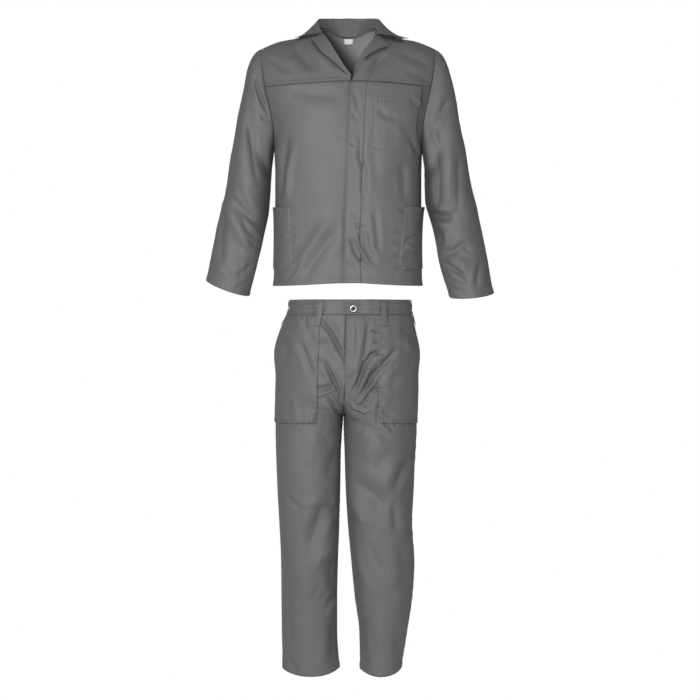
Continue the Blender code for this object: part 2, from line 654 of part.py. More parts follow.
def make_right_front(top_right):
    """The right front, whose last two lines of points lie under the placket."""
    near = front_rows(lambda level: closing_x(level) - 0.003)
    lap = front_rows(lambda level: closing_x(level) + 0.002 + LAP * step_up(-level, -YOKE_Z, -YOKE_Z + 0.06))
    near[-1] = top_right[-1]
    bottom = hem_line(-90.0, near[0][0], len(top_right) - 1)
    bottom[-1] = near[0]
    places = patch(bottom, top_right, side_edge(-1), near)
    places = np.concatenate((places, np.array(lap)[:, None]), axis=1)
    lift = np.zeros(places.shape[:2])
    lift[:, -2] = UNDER
    lift[:, -1] = LAP_DEPTH
    body_wall("jacket_front_right", places, FRONT_FOLDS, edges=("high", "start"), lift=lift)


def shoulder_line(side, columns):
    """Places along the shoulder seam, from the neck to the armhole."""
    across = NECK_SIDE / float(smooth(BODY, 1, ARCH))
    forward = (1 - across ** BODY_SQUARE) ** (1 / BODY_SQUARE)
    neck = math.degrees(math.atan2(across, forward))
    return [(side * angle, ARCH) for angle in np.linspace(neck, ARMHOLE[-1][1], columns + 1)]


def make_yoke(name, side, bottom, roll):
    """A front yoke, from its seam to the shoulder seam, between the roll line and the armhole."""
    top = shoulder_line(side, len(bottom) - 1)
    places = [body_place(*place) for place in roll]
    inner = line(places + [top[0]], len(ARMHOLE) - 1 - YOKE_ROW)
    inner[0] = bottom[0]
    outer = armhole(YOKE_ROW, len(ARMHOLE) - 1, side)
    places = patch(bottom, top, inner, outer)
    lift = np.zeros(places.shape[:2])
    if side < 0:
        lift[0, 0] = UNDER
        places = places[:, ::-1]
        lift = lift[:, ::-1]
    edges = ("low", "high", "end" if side > 0 else "start")
    body_wall(name, places, FRONT_FOLDS, edges=edges, lift=lift)


def make_back(right_columns, left_columns):
    """The back in one piece, hem to neckline and shoulder seams."""
    seam = [(90.0, rise) for rise in np.linspace(float(hem_rise(90.0)), 0, BODY_ROWS + 1)]
    left = seam + armhole(1, len(ARMHOLE) - 1, 1, back=True)
    right = [(360 - angle, rise) for angle, rise in left]
    neck_left = 180 - shoulder_line(1, 1)[0][0]
    neck = []
    for angle in np.linspace(neck_left, 360 - neck_left, NECK_COLUMNS + 1):
        share = abs(angle - 180) / (180 - neck_left)
        neck.append((angle, ARCH - NECK_DROP * (1 - share ** 2.6)))
    left_shoulder = [(180 - angle, rise) for angle, rise in shoulder_line(1, left_columns)][::-1]
    right_shoulder = [(180 - angle, rise) for angle, rise in shoulder_line(-1, right_columns)]
    top = left_shoulder + neck[1:-1] + right_shoulder
    bottom = hem_line(90.0, 270.0, len(top) - 1)
    plain = patch(bottom, [(angle, ARCH) for angle, rise in top], left, right)
    drop = np.array([rise - ARCH for angle, rise in top])
    fade = np.linspace(0, 1, len(left))[:, None] ** 3
    plain[..., 1] += drop * fade
    body_wall("jacket_back", plain, BACK_FOLDS, edges=("high", "start", "end"))
    return neck


def make_body():
    """Fronts, yokes and back, which share the places along their seams."""
    corner = body(*(np.float64(value) for value in armhole(YOKE_ROW, YOKE_ROW, 1)[0]))
    end_x = float(corner[0])
    placket_x = closing_x(YOKE_Z) + PLACKET
    left_xs = np.linspace(placket_x, end_x, FRONT_COLUMNS)
    placket_xs = np.linspace(closing_x(YOKE_Z), placket_x, PLACKET_COLUMNS + 1)
    right_xs = -np.linspace(-0.0082, end_x, FRONT_COLUMNS)
    left = yoke_line(1, np.concatenate((placket_xs, left_xs[1:])))
    right = yoke_line(-1, right_xs)
    make_left_front(left[PLACKET_COLUMNS:], left[:PLACKET_COLUMNS + 1])
    make_right_front(right[::-1])
    make_yoke("jacket_yoke_left", 1, left, ROLL_LEFT)
    make_yoke("jacket_yoke_right", -1, right, ROLL_RIGHT)
    return make_back(len(right) - 1, len(left) - 1)


def make_sleeve(name, side):
    """One sleeve, whose first ring is the armhole."""
    surface = sleeve_side(side)
    columns = 2 * (len(ARMHOLE) - 1)
    angle, length = np.meshgrid(np.linspace(0, 360, columns + 1), np.linspace(0, 1, SLEEVE_ROWS + 1) ** 1.15)
    points = surface(angle, length)
    inside = np.clip(length, 0.002, 0.998)
    normals = outward(surface, angle, inside, side)
    height = fold_height(SLEEVE_FOLDS, angle, length, (0.0012, 0.62))
    points = points + normals * (height * step_up(length, 0.02, 0.12))[..., None]
    # Where the sleeve bends down from the shoulder, its first ring is cut square to the body
    rises = [row[0] for row in ARMHOLE][::-1]
    front = np.minimum(angle[0], 360 - angle[0])
    rise = np.interp(front, np.linspace(0, 180, len(rises)), rises)
    reach = np.interp(rise, rises[::-1], [row[1] for row in ARMHOLE])
    place = side * np.where(angle[0] <= 180, reach, 180 - reach)
    body_normals = outward(body, place, rise, 1)
    leaving = unit(points[1] - points[0])
    ridge = np.sum((normals[0] - body_normals) * leaving, axis=-1) > 0
    normals[0] = np.where(ridge[:, None], body_normals, normals[0])
    points[0] += 2 * SEAM * leaving
    wall(name, points, normals, ring=True)


def on_front(places):
    return [body_place(*place) for place in places]


def make_lapel(name, side, roll, outer, gorge):
    """A lapel, turned back along the roll line and lying on the yoke."""
    inner_line = line(on_front(roll[1:]), 9)[:-1]
    outer_line = line(on_front(outer), len(inner_line) - 1)
    top = line([inner_line[-1], body_place(*gorge), outer_line[-1]], 4)
    bottom = line([inner_line[0], outer_line[0]], 4)
    places = patch(bottom, top, inner_line, outer_line)
    across = np.linspace(0, 1, places.shape[1])[None, :]
    lift = LAYER + CLOTH + 0.0020 * (1 - across) ** 2 + 0 * places[..., 0]
    body_wall(name, places, FRONT_FOLDS, lift=lift)


def neck_seam(side, share, neckline):
    """A point of the seam that the collar's half stands on, by share from its front end."""
    front = COLLAR_FRONT_RIGHT if side < 0 else COLLAR_FRONT_LEFT
    start = np.array(body_place(*front))
    neck = np.array(shoulder_line(side, 1)[0])
    half = [place for place in neckline if (place[0] - 180) * side <= 1e-6]
    half = sorted(half, key=lambda place: -abs(place[0] - 180))
    if share < NECK_SHARE:
        place = start + (neck - start) * share / NECK_SHARE
    else:
        place = line(half, 200)[round(200 * (share - NECK_SHARE) / (1 - NECK_SHARE))]
    angle, rise = np.float64(place[0]), np.float64(place[1])
    lift = LAYER + 0.0004 + (CLOTH + 0.0008) * (1 - step_up(share, 0, NECK_SHARE))
    return body(angle, rise) + outward(body, angle, rise, 1) * lift


def collar_section(side, share, neckline):
    """Points across the collar at a share of one half, from its seam over the roll to the leaf's edge."""
    rows = COLLAR_RIGHT if side < 0 else COLLAR_LEFT
    roll = np.array([float(smooth(rows, column, share)) for column in (1, 2, 3)])
    leaf_x, leaf_back = float(smooth(rows, 4, share)), float(smooth(rows, 5, share))
    across = leaf_x / float(smooth(BODY, 1, ARCH - abs(leaf_back)))
    angle = math.degrees(math.atan2(across, (1 - abs(across) ** BODY_SQUARE) ** (1 / BODY_SQUARE)))
    place = (np.float64(angle), np.float64(ARCH + leaf_back))
    leaf = body(*place) + outward(body, *place, 1) * (CLOTH + 0.0016)
    seam = neck_seam(side, share, neckline)
    away = unit((leaf - seam) * np.array((1.0, 1.0, 0.0)))
    down = np.array((0.0, 0.0, -1.0))
    folded = float(step_up(share, 0.0, 0.22))
    inner = roll - away * FOLD_RADIUS + down * FOLD_RADIUS
    outer = roll + away * FOLD_RADIUS + down * FOLD_RADIUS
    inner = inner * folded + (seam * 0.4 + roll * 0.6) * (1 - folded)
    outer = outer * folded + (roll * 0.85 + leaf * 0.15) * (1 - folded)
    middle = (outer + leaf) / 2 + away * 0.002 * folded - down * 0.002
    return np.stack((seam, (seam + inner) / 2, inner, roll, outer, middle, leaf))


def make_collar(neckline, half_columns):
    """The collar, standing on the neckline and folded down outside it."""
    shares = np.linspace(0, 1, half_columns + 1)
    sections = [collar_section(-1, share, neckline) for share in shares]
    sections += [collar_section(1, share, neckline) for share in shares[-2::-1]]
    points = np.stack(sections, axis=1)
    across = np.gradient(points, axis=0)
    along = np.gradient(points, axis=1)
    normals = unit(np.cross(across, along))
    wall("jacket_collar", points, -normals)


def make_jacket_pockets():
    """The chest pocket with its flap, and the two hip pockets, whose mouths stand open at the side."""
    chest_rows = ((11.85, 11.3), (12.0, 12.0), (13.0, 13.0), (14.0, 14.0), (15.0, 15.0), (15.93, 15.93))
    layer("jacket_chest_pocket", "jacket_front_left", chest_rows, (2, 3, 4, 5, 6), CHEST_INNER,
          lambda across, up: LAYER + CLOTH + 0 * up)
    flap_rows = ((15.05, 14.9), (15.5, 15.5), (15.93, 15.93))
    layer("jacket_chest_flap", "jacket_front_left", flap_rows, (2, 3, 4, 5, 6), FLAP_INNER,
          lambda across, up: 2 * (LAYER + CLOTH) + 0.0020 * (1 - up) ** 2)
    rows = [(row, row) for row in (1.45, 2, 3, 4, 5, 6, 6.95)]
    for name, columns, inner, mouth in (("right", (2, 1, 0.08), HIP_INNER_RIGHT, MOUTH_RIGHT),
                                        ("left", (4, 5, 6, 6.92), HIP_INNER_LEFT, MOUTH_LEFT)):
        layer("jacket_hip_pocket_" + name, "jacket_front_" + name, rows, columns, inner,
              lambda across, up: LAYER + CLOTH + (0.0015 + (mouth - 0.0015) * across ** 2) * up ** 3)


def make_label():
    """A bare label inside the back of the neck."""
    points, normals = PANELS["jacket_back"]
    column, row = np.meshgrid(LABEL_COLUMNS, LABEL_ROWS)
    wall("jacket_neck_label", sample(points, row, column), unit(sample(normals, row, column)),
         lift=-CLOTH - LAYER, thickness=0.001)


def trouser_points(side, turn, drop, folds=True):
    """Outer points and normals of one trouser half, with its folds."""
    surface = leg_side(side)
    points = surface(turn, drop)
    normals = outward(surface, np.clip(turn, 0.004, 1.996), np.clip(drop, 0.002, 2.998), -side)
    x, z = points[..., 0], points[..., 2]
    front = normals[..., 1] < 0
    height = np.where(front, fold_height(LEG_FRONT_FOLDS, x, z), fold_height(LEG_BACK_FOLDS, x, z))
    quiet = step_up(np.abs(normals[..., 1]), 0.15, 0.6)
    return points + normals * (height * quiet)[..., None], normals


def trouser_drops():
    seat = np.linspace(0, 1, HIP_ROWS + 1)
    curve = np.linspace(1, 2, CROTCH_ROWS + 1)[1:]
    leg = np.linspace(2, 3, LEG_ROWS + 1)[1:]
    return np.concatenate((seat, curve, leg))


def make_legs():
    """The four leg panels, each from the waist seam to the hem."""
    for side, side_name in ((-1, "right"), (1, "left")):
        for first, name in ((0, "front"), (1, "back")):
            turn, drop = np.meshgrid(np.linspace(first, first + 1, LEG_COLUMNS + 1), trouser_drops())
            points, normals = trouser_points(side, turn, drop)
            PANELS[f"trousers_{name}_{side_name}"] = (points, normals)
            wall(f"trousers_{name}_{side_name}", points, normals, edges=("low", "start", "end"))


def hip_place(x, level):
    """Angle of the front of the seat at a place of the front view."""
    middle = float(smooth(HIPS, 3, level))
    half = float(smooth(HIPS, 2, level)) - middle if x > middle else middle + float(smooth(HIPS, 1, level))
    across = min(abs(x - middle) / half, 1)
    forward = (1 - across ** SEAT_SQUARE) ** (1 / SEAT_SQUARE)
    return math.copysign(math.degrees(math.atan2(across, forward)), x - middle)


def hip_wall(name, angles, levels, lift, **options):
    """A wall on the seat, between angles and levels."""
    angle, level = np.meshgrid(angles, levels)
    points = hips(angle, level)
    ahead = hips(angle + 0.2, level) - hips(angle - 0.2, level)
    above = hips(angle, level + 0.001) - hips(angle, level - 0.001)
    normals = unit(np.cross(ahead, above))
    return wall(name, points, normals, lift=lift, **options)


def make_waistband():
    """The band, whose left end laps over its right end at the front, and the button on it."""
    end = hip_place(-BAND_END, WAIST_Z - BAND / 2)
    angles = np.concatenate((np.linspace(end, 24, 4), np.linspace(24, 340, 28)[1:],
                             np.linspace(340, 367, 4)[1:]))
    levels = np.linspace(WAIST_Z - BAND + 2 * SEAM, WAIST_Z, 3)
    lift = BAND_LIFT * (1 - step_up(angles, 4, 30)) - 0.0006 * step_up(angles, 330, 350)
    hip_wall("trousers_waistband", angles, levels, lift[None, :])


def make_loops():
    """Five belt loops, standing on the band and the cloth below it."""
    middles = {name: hip_place(x, LOOP_MIDDLE) for name, x in LOOP_X.items()}
    middles.update(side_right=-88.0, side_left=88.0, back=180.0)
    for name, middle in middles.items():
        point = hips(np.float64(middle), np.float64(LOOP_MIDDLE))
        beside = hips(np.float64(middle + 1), np.float64(LOOP_MIDDLE))
        spread = LOOP_WIDTH / float(np.linalg.norm(beside - point)) / 2
        angles = middle + np.linspace(-spread, spread, 3)
        levels = np.linspace(LOOP_BOTTOM, LOOP_TOP, 6)
        lift = CLOTH + LAYER + (CLOTH + LAYER + 0.0012) * (1 - step_up(levels, *LOOP_STEP))
        hip_wall("trousers_loop_" + name, angles, levels, lift[:, None])


def make_trouser_pockets():
    """Patch pockets on the fronts, from the waist seam to the thigh, standing a little open at the side."""
    def lift(across, down):
        mouth = np.exp(-((down - 0.35) / 0.12) ** 2) * across ** 3
        return LAYER + CLOTH + 0.0045 * mouth + 0.0026 * step_up(down, 0.45, 0.7) * (1 - across ** 2)

    rows = [(row, row) for row in (0.12, *range(1, HIP_ROWS + CROTCH_ROWS + 1), 11.43)]
    for name in ("right", "left"):
        layer("trousers_pocket_" + name, "trousers_front_" + name, rows, (4, 5, 6, 7, 7.9),
              TROUSER_POCKET_INNER, lift, spare=2)


def make_fly():
    """The fly's outer layer on the left front, straight along the middle and curved at its foot."""
    levels = np.linspace(WAIST_Z - BAND - 0.004, FLY_BOTTOM, 9)
    share = np.linspace(0, 1, 9)
    width = FLY_FOOT + (FLY_WIDTH - FLY_FOOT) * np.sqrt(1 - share ** 5)
    start = smooth(HIPS, 3, levels) - 0.0010
    across = np.linspace(0, 1, 4)
    angles = np.array([[hip_place(x + w * s, z) for s in across] for x, w, z in zip(start, width, levels)])
    level = np.repeat(levels[:, None], 4, axis=1)
    points = hips(angles, level)
    ahead = hips(angles + 0.2, level) - hips(angles - 0.2, level)
    above = hips(angles, level + 0.001) - hips(angles, level - 0.001)
    normals = unit(np.cross(ahead, above))
    points = points + normals * fold_height(LEG_FRONT_FOLDS, points[..., 0], points[..., 2])[..., None]
    wall("trousers_fly", points, normals, lift=LAYER + CLOTH)


def make_button():
    """A metal shank button: a turned rim with a dished middle on a short shank."""
    profile = ((0.0, 0.0), (0.0040, 0.0), (0.0040, 0.0012), (0.0088, 0.0014), (BUTTON_RADIUS, 0.0024),
               (0.0086, 0.0036), (0.0060, 0.0034), (0.0046, 0.0022), (0.0, 0.0020))
    outline = bpy.data.meshes.new("trousers_waist_button")
    points = [(radius, 0.0, height) for radius, height in profile[::-1]]
    outline.from_pydata(points, [(i, i + 1) for i in range(len(points) - 1)], [])
    button = add_object("trousers_waist_button", outline, (0.5, 0.5, 0.48), 0.35, 1.0)
    screw = button.modifiers.new("turn", "SCREW")
    screw.steps = 20
    screw.render_steps = 20
    screw.use_merge_vertices = True
    screw.merge_threshold = 0.0001
    angle = hip_place(BUTTON_X, BUTTON_Z)
    seat = hips(np.float64(angle), np.float64(BUTTON_Z))
    button.location = seat + np.array((0.0, -BAND_LIFT - BUTTON_GAP, 0.0))
    button.rotation_euler = (math.radians(90), 0.0, 0.0)


def clear_scene():
    for obj in list(bpy.data.objects):
        bpy.data.objects.remove(obj, do_unlink=True)
    collection = bpy.data.collections.new("work_suit")
    bpy.context.scene.collection.children.link(collection)


clear_scene()
neckline = make_body()
make_sleeve("jacket_sleeve_right", -1)
make_sleeve("jacket_sleeve_left", 1)
make_collar(neckline, 12)
make_lapel("jacket_lapel_right", -1, ROLL_RIGHT, LAPEL_RIGHT, GORGE_RIGHT)
make_lapel("jacket_lapel_left", 1, ROLL_LEFT, LAPEL_LEFT, GORGE_LEFT)
make_jacket_pockets()
make_label()
make_legs()
make_waistband()
make_loops()
make_trouser_pockets()
make_fly()
make_button()
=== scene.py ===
import math

import bmesh
import bpy
import numpy as np
from mathutils import Matrix, Vector, kdtree, noise
from mathutils.bvhtree import BVHTree


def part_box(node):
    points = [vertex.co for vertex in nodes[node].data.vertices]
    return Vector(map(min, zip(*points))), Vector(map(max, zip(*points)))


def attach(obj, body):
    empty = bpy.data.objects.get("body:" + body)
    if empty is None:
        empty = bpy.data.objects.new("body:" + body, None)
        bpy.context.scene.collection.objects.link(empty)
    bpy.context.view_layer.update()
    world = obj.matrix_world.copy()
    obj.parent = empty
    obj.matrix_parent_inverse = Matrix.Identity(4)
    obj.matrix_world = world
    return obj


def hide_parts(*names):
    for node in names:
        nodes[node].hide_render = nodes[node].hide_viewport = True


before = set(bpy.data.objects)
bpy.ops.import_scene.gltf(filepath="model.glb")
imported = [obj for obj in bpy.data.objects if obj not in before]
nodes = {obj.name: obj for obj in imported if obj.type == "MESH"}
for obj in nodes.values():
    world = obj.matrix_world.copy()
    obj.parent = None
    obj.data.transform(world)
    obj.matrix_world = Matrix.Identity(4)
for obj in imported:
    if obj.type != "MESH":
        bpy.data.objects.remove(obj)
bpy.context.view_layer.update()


# Jacket back. One piece of grey polyester and cotton twill from the neckline to the hem, cut on the fold
# and sewn to the fronts at the sides and to the yokes at the shoulders. It hangs in soft folds that run
# down from the shoulder blades and in from the sides.
def new_material(name, inputs):
    """A material, its node tree and its shader, with the shader's inputs that are the same all over."""
    made = bpy.data.materials.new(name)
    made.use_nodes = True
    shader = made.node_tree.nodes["Principled BSDF"]
    for socket, value in inputs.items():
        shader.inputs[socket].default_value = value
    return made, made.node_tree, shader


def new_node(tree, kind, inputs=None, **settings):
    """A shader node with its settings. An input is a value or another node's output."""
    made = tree.nodes.new("ShaderNode" + kind)
    for setting, value in settings.items():
        setattr(made, setting, value)
    for socket, value in (inputs or {}).items():
        if isinstance(value, bpy.types.NodeSocket):
            tree.links.new(value, made.inputs[socket])
        else:
            made.inputs[socket].default_value = value
    return made


def times_plus(tree, value, factor, more):
    """An output times a factor, plus another output."""
    return new_node(tree, "Math", {0: value, 1: factor, 2: more}, operation="MULTIPLY_ADD").outputs["Value"]


def two_tones(tree, share, dark, light, start=0.0):
    """A colour that runs from dark at a share, or below it, to light at 1."""
    ramp = new_node(tree, "ValToRGB", {"Fac": share})
    for stop, place, colour in zip(ramp.color_ramp.elements, (start, 1.0), (dark, light)):
        stop.position = place
        stop.color = (*colour, 1.0)
    return ramp.outputs["Color"]


def twill(name, colour, shade, pitch=0.0011):
    """A twill weave of diagonal ribs, drawn along the cloth's own UV map, a little uneven in tone, and
    darkened by the painted shade that each piece carries.
    """
    made, tree, shader = new_material(name, {"Roughness": 0.60, "Sheen Weight": 0.04, "Sheen Roughness": 0.5,
                                             "Specular IOR Level": 0.50})
    one_metre = 0.314  # The scale at which a wave texture has one band to a metre
    rib_angle, yarn_share = math.radians(55), 0.62
    cloth_map = new_node(tree, "UVMap", uv_map="cloth").outputs["UV"]
    turned = new_node(tree, "Mapping", {"Vector": cloth_map, "Rotation": (0.0, 0.0, rib_angle)})
    ribs = new_node(tree, "TexWave", {"Vector": turned.outputs["Vector"], "Scale": one_metre / pitch,
                                      "Distortion": 0.6, "Detail": 1.0, "Detail Scale": 2.0})
    yarn = new_node(tree, "TexWave", {"Vector": cloth_map, "Scale": one_metre / (pitch * yarn_share)},
                    bands_direction="Y")
    weave = times_plus(tree, yarn.outputs["Fac"], 0.35, ribs.outputs["Fac"])
    place = new_node(tree, "TexCoord").outputs["Object"]
    clouds = new_node(tree, "TexNoise", {"Vector": place, "Scale": 9.0, "Detail": 6.0, "Roughness": 0.62})
    slubs = new_node(tree, "TexNoise", {"Vector": place, "Scale": 420.0, "Detail": 2.0})
    tone = times_plus(tree, weave, 0.30, clouds.outputs["Fac"])
    fleck = times_plus(tree, slubs.outputs["Fac"], 0.22, tone)
    dyed = two_tones(tree, fleck, [value * shade for value in colour], colour, start=0.45)
    # The piece's tone, mostly painted shade in creases, seams and under edges, darkens the dyed colour
    tone_and_painted_shade = new_node(tree, "Attribute", attribute_name="tone_and_painted_shade").outputs["Color"]
    shown = new_node(tree, "Mix", data_type="RGBA", blend_type="MULTIPLY")
    shown.inputs[0].default_value = 1.0
    tree.links.new(dyed, shown.inputs[6])
    tree.links.new(tone_and_painted_shade, shown.inputs[7])
    tree.links.new(shown.outputs[2], shader.inputs["Base Color"])
    bump = new_node(tree, "Bump", {"Strength": 0.35, "Distance": 0.0003, "Height": weave})
    tree.links.new(bump.outputs["Normal"], shader.inputs["Normal"])
    return made


def to_data(shape, name):
    """A mesh from a bmesh, which is then freed."""
    data = bpy.data.meshes.new(name)
    shape.to_mesh(data)
    shape.free()
    return data


def new_object(name, data):
    """An object in the scene."""
    made = bpy.data.objects.new(name, data)
    bpy.context.scene.collection.objects.link(made)
    return made


def read(items, name, width=3, kind=float):
    """A property of a mesh's points, corners or faces as an array."""
    values = np.empty(len(items) * width, dtype=kind)
    items.foreach_get(name, values)
    return values.reshape(-1, width) if width > 1 else values


def run_of(line):
    """How far along a line each of its points is."""
    steps = np.linalg.norm(np.diff(line, axis=0), axis=1)
    return np.concatenate(([0.0], np.cumsum(steps)))


def along(line, places):
    """The points at places along a line."""
    run = run_of(line)
    return np.stack([np.interp(places, run, line[:, axis]) for axis in range(3)], axis=1)


def tree_of(points):
    """A search tree over points."""
    tree = kdtree.KDTree(len(points))
    for number, point in enumerate(points):
        tree.insert(point, number)
    tree.balance()
    return tree


def smooth_step(value, start, end):
    """0 before start and 1 after end, with an even rise between."""
    share = np.clip((value - start) / (end - start), 0.0, 1.0)
    return share * share * (3.0 - 2.0 * share)


def uneven_wave(run, wave, sway, wander, swell):
    """A wave along an edge, uneven in its length and in its strength."""
    return np.sin(run / wave * 2 * math.pi + sway * np.sin(run / wander)) * (0.6 + 0.4 * np.sin(run / swell))


class Cloth:
    """A piece of cloth on the outer side of its solid, shaped by heights along its own normals."""

    def __init__(self, node, levels=3, wall=0.002, fine=None, weld=0.0, across=0.0):
        self.node = node
        skin = bmesh.new()
        skin.from_mesh(nodes[node].data)
        bmesh.ops.remove_doubles(skin, verts=skin.verts, dist=1e-5)
        # A face of the rim has an edge as long as the wall is thick, and as long across the cloth as asked
        rim = [face for face in skin.faces
               if any(abs(edge.calc_length() - wall) < wall * 0.04 and
                      abs(edge.verts[0].co.y - edge.verts[1].co.y) >= across for edge in face.edges)]
        bmesh.ops.delete(skin, geom=rim, context="FACES")
        self.keep_outer(skin)
        diagonals = [edge for edge in skin.edges if len(edge.link_faces) == 2 and
                     all(edge == max(face.edges, key=lambda side: side.calc_length())
                         for face in edge.link_faces)]
        bmesh.ops.dissolve_edges(skin, edges=diagonals, use_verts=False)
        if weld:
            # Points too close to the edge would fold it over
            rim = [vert for vert in skin.verts if vert.is_boundary]
            tree = tree_of([vert.co for vert in rim])
            close = {}
            for vert in skin.verts:
                _, number, gap = tree.find(vert.co)
                if not vert.is_boundary and gap < weld:
                    close[vert] = rim[number]
            bmesh.ops.weld_verts(skin, targetmap=close)
        self.mesh = self.smoothed(to_data(skin, node), levels)
        self.mesh.name = node + "_cloth"
        if fine is not None:
            # Small faces above a level, where the cloth has narrow folds
            skin = bmesh.new()
            skin.from_mesh(self.mesh)
            close = [edge for edge in skin.edges if all(vert.co.z > fine for vert in edge.verts)]
            bmesh.ops.subdivide_edges(skin, edges=close, cuts=1, use_grid_fill=True)
            skin.to_mesh(self.mesh)
            skin.free()
            self.mesh.shade_smooth()
        self.points = read(self.mesh.vertices, "co")
        self.normals = read(self.mesh.vertices, "normal")
        self.heights = np.zeros(len(self.points))
        # The tone darkens the cloth's colour; later steps lay painted shade in it along creases, seams,
        # turned edges and under other layers
        self.tone = np.ones(len(self.points))
        self.joined = []
        self.lines = None

    @staticmethod
    def keep_outer(skin):
        """Deletes all but the outer side: the larger one, or the one that lies further out."""
        sides, left = [], dict.fromkeys(skin.faces)
        while left:
            side = [left.popitem()[0]]
            for face in side:
                for edge in face.edges:
                    for other in edge.link_faces:
                        if other in left:
                            del left[other]
                            side.append(other)
            sides.append(side)
        sides.sort(key=lambda side: sum(face.calc_area() for face in side))
        areas = [sum(face.calc_area() for face in side) for side in sides[-2:]]
        if areas[0] > areas[-1] * 0.995:
            # Too flat to tell by size
            sides.sort(key=lambda side: np.mean([math.hypot(*face.calc_center_median()[:2])
                                                 for face in side]))
        bmesh.ops.delete(skin, geom=[face for side in sides[:-1] for face in side], context="FACES")

    @staticmethod
    def smoothed(mesh, levels):
        """A smooth mesh through a mesh's own points, by moving the control points until it meets them."""
        draft = new_object("draft", mesh)
        division = draft.modifiers.new("division", "SUBSURF")
        division.levels = levels
        division.render_levels = levels
        division.boundary_smooth = "PRESERVE_CORNERS"
        goal = read(mesh.vertices, "co")
        room = np.full(len(goal), 1.0)
        for edge in mesh.edges:
            start, end = edge.vertices
            length = (mesh.vertices[start].co - mesh.vertices[end].co).length
            room[start], room[end] = min(room[start], length), min(room[end], length)
        control, turns, pull, most = goal.copy(), 3, 0.9, 0.35
        for turn in range(turns + 1):
            mesh.vertices.foreach_set("co", control.ravel())
            mesh.update()
            bpy.context.view_layer.update()
            graph = bpy.context.evaluated_depsgraph_get()
            reached = read(draft.evaluated_get(graph).to_mesh().vertices, "co")
            if turn < turns:
                shift = control - goal + (goal - reached[:len(goal)]) * pull
                far = np.maximum(np.linalg.norm(shift, axis=1), 1e-9)
                control = goal + shift * np.minimum(1.0, most * room / far)[:, None]
        made = bpy.data.meshes.new_from_object(draft.evaluated_get(graph))
        bpy.data.objects.remove(draft)
        return made

    def borders(self):
        """The piece's edge lines, split where the edge turns a corner."""
        if self.lines:
            return self.lines
        skin = bmesh.new()
        skin.from_mesh(self.mesh)
        skin.verts.ensure_lookup_table()
        loose = dict.fromkeys(edge for edge in skin.edges if edge.is_boundary)
        lines = []
        while loose:
            edge = loose.popitem()[0]
            loop = [edge.verts[0], edge.verts[1]]
            forward = 0
            while True:
                after = next((e for e in loop[-1].link_edges if e in loose), None)
                if after is None:
                    break
                del loose[after]
                forward += 1 if after.verts[0] == loop[-1] else -1
                loop.append(after.other_vert(loop[-1]))
            if forward < 0:  # the line runs the way most of its edges do
                loop.reverse()
            points = np.array([vert.co for vert in loop])
            reach = 4
            ring = points[:-1]
            ahead = np.roll(ring, -reach, axis=0) - ring
            behind = ring - np.roll(ring, reach, axis=0)
            turn = np.sum(ahead * behind, axis=1)
            turn /= np.linalg.norm(ahead, axis=1) * np.linalg.norm(behind, axis=1)
            corners = [i for i in range(len(ring)) if turn[i] < 0.72 and
                       turn[i] <= min(turn[(i + k) % len(ring)] for k in range(-reach, reach + 1))]
            if len(corners) < 2:
                lines.append(points)
                continue
            for start, end in zip(corners, corners[1:] + [corners[0] + len(ring)]):
                lines.append(np.array([ring[k % len(ring)] for k in range(start, end + 1)]))
        skin.free()
        return [line for line in lines if len(line) > 3]

    def border(self, direction):
        """The edge line that lies furthest in a direction."""
        return max(self.borders(), key=lambda line: float(np.mean(line @ np.array(direction))))

    def away(self, line, step=0.002):
        """How far each point lies from a line, and how far along it its nearest place is."""
        places = np.arange(0.0, run_of(line)[-1], step)
        tree = tree_of(along(line, places))
        found = [tree.find(point) for point in self.points]
        return np.array([item[2] for item in found]), places[[item[1] for item in found]]

    def crease(self, places, width, depth, facing, ends, dark):
        """A soft trough along places of the front view, with low swells at its sides. Minus is a ridge."""
        x, z = self.points[:, 0], self.points[:, 2]
        best = np.full(len(x), 1e9)
        share = np.zeros(len(x))
        run = run_of(places)
        for start, end, before, after in zip(places, places[1:], run, run[1:]):
            ahead, length = end - start, after - before
            part = np.clip(((x - start[0]) * ahead[0] + (z - start[1]) * ahead[1]) / length ** 2, 0, 1)
            gap = np.hypot(x - start[0] - ahead[0] * part, z - start[1] - ahead[1] * part)
            share = np.where(gap < best, (before + length * part) / run[-1], share)
            best = np.minimum(gap, best)
        fade = smooth_step(share, 0.0, ends) * (1.0 - smooth_step(share, 1.0 - ends, 1.0))
        fade *= self.normals[:, 1] * facing > 0.12
        trough = np.exp(-(best / width) ** 1.5)
        swells = 0.30 * np.exp(-((best - 2.1 * width) / width) ** 2)
        self.heights -= depth * fade * (trough - swells)
        # Painted shade in the trough, as strong as dark asks
        self.tone *= 1.0 - dark * fade * np.exp(-(best / width) ** 2)

    def folds(self, rows, step=0.001, facing=-1, ends=0.35, wider=1.0, deeper=1.0, dark=0.0, dark_from=0.0):
        """Creases from rows: width and depth in mm, then x and z by turns in steps. Deep ones may get painted
        shade.
        """
        for width, depth, *places in rows:
            self.crease(np.reshape(places, (-1, 2)) * step, width * wider * 0.001, depth * deeper * 0.001,
                        facing, ends, dark * (depth > dark_from))

    def drape(self, amount, size, stretch=2.2, seed=0.0):
        """Slow swells of the cloth, longer up and down than across."""
        heights = [noise.noise(Vector((x / size + seed, y / size, z / (size * stretch))))
                   for x, y, z in self.points]
        self.heights += amount * np.array(heights)

    def crumple(self, amount, size, seed=0.0):
        """Small wrinkles, sharp at their crests."""
        heights = []
        for x, y, z in self.points:
            value = noise.noise(Vector((x / size + seed, y / size, z / (size * 1.3) + seed)))
            heights.append(1.0 - abs(value) * 2.4)
        self.heights += amount * (np.array(heights) - 0.5)

